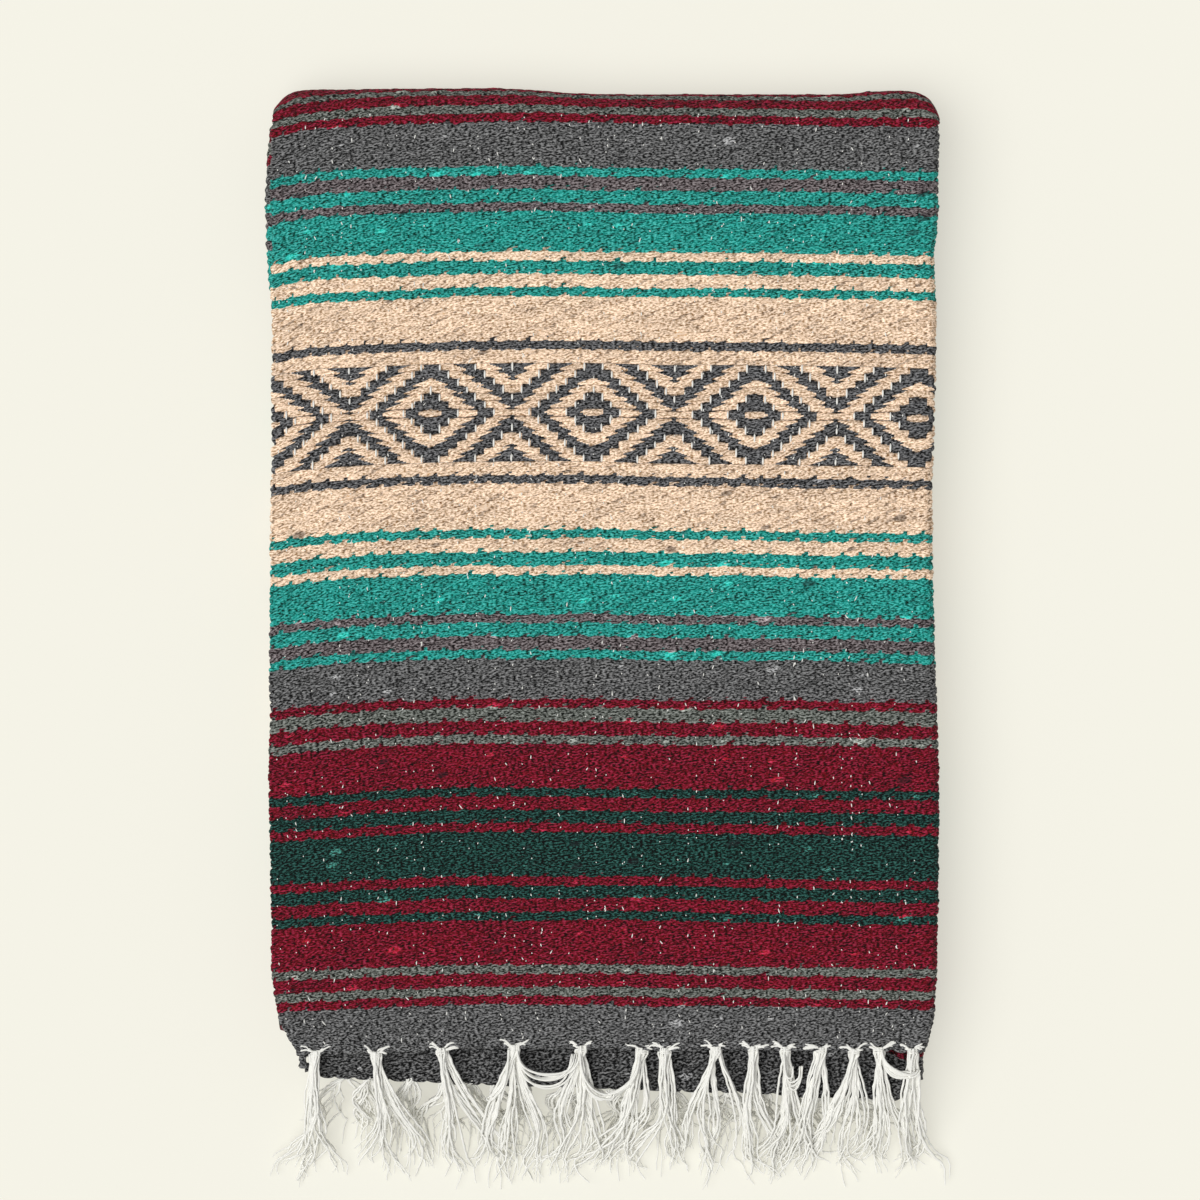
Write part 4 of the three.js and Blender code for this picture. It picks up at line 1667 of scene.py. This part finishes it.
@dataclass(frozen=True)
class ClothFinish:
    """Recycled-fibre weft in stripes: heathered, slubbed and dry."""

    roughness: float = 0.93
    sheen: float = 0.05
    sheen_roughness: float = 0.5
    specular: float = 0.12
    bump: float = 1.0
    # Overall brightness factor on the dyes; the darker copy with a lower value paints shade.
    lift: float = 1.25
    fibre_contrast: float = 0.74
    fibre_offset: float = -0.06
    fibre_gamma: float = 0.47
    bead_contrast: float = 0.12
    # Painted shade: the share of the colour left in the deepest gaps between beads and floats.
    painted_crevice_shade: float = 0.48
    slub_light: float = 1.08
    slub_softness: float = 0.22

    def stripes(self, work: NodeWork, weave: Weave) -> bpy.types.NodeSocket:
        """Adds the stripes' colours along the half repeat and returns the colour."""
        ramp = work.add("ShaderNodeValToRGB")
        work.link(work.attribute("dye"), ramp.inputs["Fac"])
        ramp.color_ramp.interpolation = "CONSTANT"
        elements = ramp.color_ramp.elements
        start = 0.0
        while len(elements) > 1:
            elements.remove(elements[-1])
        for number, band in enumerate(HALF_REPEAT_BANDS):
            place = start * weave.pick / weave.half_repeat
            element = elements[0] if number == 0 else elements.new(place)
            element.position = place
            element.color = band.dye.linear()
            start += band.picks
        return ramp.outputs["Color"]

    def make(self, weave: Weave) -> bpy.types.Material:
        """Makes the material.

        Args:
            weave: The cloth's weave, for the stripes' places and the fibres' slant.

        Returns:
            The material.
        """
        work = NodeWork("striped cloth")
        colour = self.stripes(work, weave)
        slant = -math.atan(weave.slant)
        mottle = work.noise(work.placed(CLOTH_MAP, (620, 1350, 1), slant), 1.0, 3.0)
        fibres = work.noise(work.placed(CLOTH_MAP, (900, 3600, 1), slant), 1.0, 3.0)
        flecks = work.noise(work.placed(CLOTH_MAP, (700, 1300, 1), slant), 1.3, 2.0)
        broad = work.noise(work.placed(CLOTH_MAP, (22, 60, 1)), 1.0, 2.0)
        grain = work.math("ADD", work.ranged(mottle, 0.3, 0.7, -0.7, 0.7), work.ranged(fibres, 0.3, 0.7, -0.3, 0.3))
        bead = work.ranged(work.attribute("yarn"), 0.0, 1.0, -self.bead_contrast, self.bead_contrast)
        patch = work.ranged(broad, 0.3, 0.7, -0.04, 0.04)
        total = work.math("ADD", 1.0, work.math("ADD", bead, patch))
        # Painted shade: the colour darkens towards the gaps between beads and floats, where fullness is low, as shade
        # falls there.
        uneven = work.math("ADD", work.attribute("fullness"), work.ranged(mottle, 0.3, 0.7, -0.12, 0.12))
        crevice_shadow = work.ranged(uneven, 0.05, 0.55, self.painted_crevice_shade, 1.0)
        total = work.math("MULTIPLY", work.math("MULTIPLY", total, crevice_shadow), self.lift)
        scaled = work.add("ShaderNodeVectorMath", operation="SCALE")
        work.link(colour, scaled.inputs[0])
        work.link(total, scaled.inputs["Scale"])
        soft = work.add("ShaderNodeGamma")
        work.link(colour, soft.inputs["Color"])
        soft.inputs["Gamma"].default_value = self.fibre_gamma
        change = work.math("MULTIPLY", work.math("ADD", grain, self.fibre_offset), self.fibre_contrast)
        fibre = work.add("ShaderNodeVectorMath", operation="SCALE")
        work.link(soft.outputs["Color"], fibre.inputs[0])
        work.link(work.math("MULTIPLY", change, crevice_shadow), fibre.inputs["Scale"])
        lifted = work.add("ShaderNodeVectorMath", operation="ADD")
        work.link(scaled.outputs[0], lifted.inputs[0])
        work.link(fibre.outputs[0], lifted.inputs[1])
        limited = work.add("ShaderNodeVectorMath", operation="MAXIMUM")
        work.link(lifted.outputs[0], limited.inputs[0])
        limited.inputs[1].default_value = (0.004, 0.004, 0.004)
        light_share = work.ranged(flecks, 0.7, 0.78, 0.0, 0.34)
        dark_share = work.ranged(flecks, 0.3, 0.24, 0.0, 0.4)
        slub = work.attribute("slub")
        parts = work.add("ShaderNodeSeparateColor", mode="HSV")
        work.link(limited.outputs[0], parts.inputs["Color"])
        softened = work.math("ADD", parts.outputs["Blue"], self.slub_softness)
        vivid = work.add("ShaderNodeVectorMath", operation="SCALE")
        work.link(limited.outputs[0], vivid.inputs[0])
        work.link(work.math("DIVIDE", self.slub_light, softened), vivid.inputs["Scale"])
        bright = work.ranged(slub, 0.1, 0.9, 0.0, 1.0)
        dark = work.ranged(slub, -0.1, -0.9, 0.0, 0.6)
        tinted = work.mixed(bright, limited.outputs[0], vivid.outputs[0])
        tinted = work.mixed(dark, tinted, linear_colour((30, 28, 32)))
        tinted = work.mixed(light_share, tinted, linear_colour((196, 190, 184)))
        tinted = work.mixed(dark_share, tinted, linear_colour((38, 34, 36)))
        bump = work.add("ShaderNodeBump")
        bump.inputs["Strength"].default_value = self.bump
        bump.inputs["Distance"].default_value = 0.25 * MM
        work.link(work.math("ADD", mottle, work.math("MULTIPLY", fibres, 0.5)), bump.inputs["Height"])
        shader = work.add("ShaderNodeBsdfPrincipled")
        work.link(tinted, shader.inputs["Base Color"])
        work.link(bump.outputs["Normal"], shader.inputs["Normal"])
        shader.inputs["Roughness"].default_value = self.roughness
        shader.inputs["Specular IOR Level"].default_value = self.specular
        shader.inputs["Sheen Weight"].default_value = self.sheen
        shader.inputs["Sheen Roughness"].default_value = self.sheen_roughness
        return work.finish(shader)


@dataclass(frozen=True)
class YarnFinish:
    """Soft white cotton, twisted from two plies."""

    light: tuple[int, int, int] = (243, 242, 236)
    dim: tuple[int, int, int] = (230, 229, 222)
    roughness: float = 0.85
    sheen: float = 0.15
    bump: float = 0.5

    def make(self) -> bpy.types.Material:
        """Makes the material."""
        work = NodeWork("white cotton yarn")
        fibres = work.noise(work.placed(STRAND_MAP, (6, 1600, 1), 0.0), 1.0, 3.0)
        slow = work.noise(work.placed(STRAND_MAP, (1.7, 120, 1), 0.0), 1.0, 2.0)
        share = work.math("MULTIPLY", work.ranged(fibres, 0.3, 0.7, 0.0, 1.0), 0.5)
        share = work.math("ADD", share, work.math("MULTIPLY", work.ranged(slow, 0.3, 0.7, 0.0, 1.0), 0.5))
        colour = work.mixed(share, linear_colour(self.dim), linear_colour(self.light))
        bump = work.add("ShaderNodeBump")
        bump.inputs["Strength"].default_value = self.bump
        bump.inputs["Distance"].default_value = 0.15 * MM
        work.link(fibres, bump.inputs["Height"])
        shader = work.add("ShaderNodeBsdfPrincipled")
        work.link(colour, shader.inputs["Base Color"])
        work.link(bump.outputs["Normal"], shader.inputs["Normal"])
        shader.inputs["Roughness"].default_value = self.roughness
        shader.inputs["Sheen Weight"].default_value = self.sheen
        return work.finish(shader)


@dataclass
class Studio:
    """A plain pale floor, a wide soft light and a camera straight above."""

    stack: Stack
    floor_colour: tuple[int, int, int] = (244, 242, 230)
    floor_matt: float = 0.42
    floor_glow: float = 0.562
    floor_size: float = 8.0
    aim: tuple[float, float] = (-2.2 * MM, 216 * MM)
    distance: float = 1.7
    frame_width: float = 0.576
    sensor: float = 36.0
    key_power: float = 2.62
    key_from: tuple[float, float, float] = (-0.4, -0.17, 1.0)
    key_spread: float = math.radians(62)
    sky_strength: float = 0.3

    def floor(self) -> bpy.types.Object:
        """Makes the floor."""
        half = self.floor_size / 2
        mesh = bpy.data.meshes.new("floor")
        corners = [(-half, -half, 0), (half, -half, 0), (half, half, 0), (-half, half, 0)]
        mesh.from_pydata(corners, [], [(0, 1, 2, 3)])
        floor = bpy.data.objects.new("floor", mesh)
        bpy.context.scene.collection.objects.link(floor)
        work = NodeWork("pale floor")
        shader = work.add("ShaderNodeBsdfPrincipled")
        colour = linear_colour(self.floor_colour)
        matt = [self.floor_matt * value for value in colour[:3]]
        shader.inputs["Base Color"].default_value = (*matt, 1.0)
        shader.inputs["Emission Color"].default_value = colour
        shader.inputs["Emission Strength"].default_value = self.floor_glow
        shader.inputs["Roughness"].default_value = 0.9
        shader.inputs["Specular IOR Level"].default_value = 0.1
        mesh.materials.append(work.finish(shader))
        return floor

    def light(self) -> None:
        """Makes the soft light and the even surroundings."""
        lamp = bpy.data.lights.new("soft key", "SUN")
        lamp.angle = self.key_spread
        lamp.energy = self.key_power
        key = bpy.data.objects.new("soft key", lamp)
        key.rotation_euler = Vector(self.key_from).to_track_quat("Z", "Y").to_euler()
        bpy.context.scene.collection.objects.link(key)
        world = bpy.data.worlds.new("even surroundings")
        world.use_nodes = True
        background = world.node_tree.nodes["Background"]
        background.inputs["Color"].default_value = (1.0, 1.0, 1.0, 1.0)
        background.inputs["Strength"].default_value = self.sky_strength
        bpy.context.scene.world = world

    def camera(self) -> None:
        """Makes the camera, looking straight down."""
        data = bpy.data.cameras.new("above")
        data.sensor_width = self.sensor
        data.lens = self.sensor * self.distance / self.frame_width
        camera = bpy.data.objects.new("above", data)
        place = self.stack.world(*(np.array(value) for value in (*self.aim, self.stack.height)))
        camera.location = (place[0], place[1], place[2] + self.distance)
        camera.rotation_euler = (0, 0, 0)
        bpy.context.scene.collection.objects.link(camera)
        bpy.context.scene.camera = camera

    def build(self) -> None:
        """Builds the whole studio."""
        self.floor()
        self.light()
        self.camera()
        bpy.context.scene.view_settings.view_transform = "Standard"
        LOG.info("studio")


def main() -> None:
    """Builds the serape and its studio, and reports each piece."""
    logging.basicConfig(level=logging.INFO, format="%(message)s")
    stack = Stack.from_frame()
    studio = Studio(stack)
    studio.build()
    weave = Weave()
    path = BundlePath(stack)
    cloth = ClothFinish().make(weave)
    yarn = YarnFinish().make()
    flap = FrontFlap(stack, path, weave, cloth)
    layers = FoldedLayers(stack, path, weave, cloth)
    # A darker copy of the cloth finish: painted shade on the woven ends below the flap's edge.
    painted_shade_cloth = ClothFinish(lift=0.8).make(weave)
    ends = WovenEnds(stack, path, weave, painted_shade_cloth)
    fringe = Fringe(stack, ends, yarn)
    warps = WarpYarns(stack, flap, weave, yarn)
    for part in (flap, layers, ends, fringe, warps):
        pieces = part.build()
        LOG.info("%s: %d pieces", type(part).__name__, len(pieces))


if __name__ == "__main__":
    main()
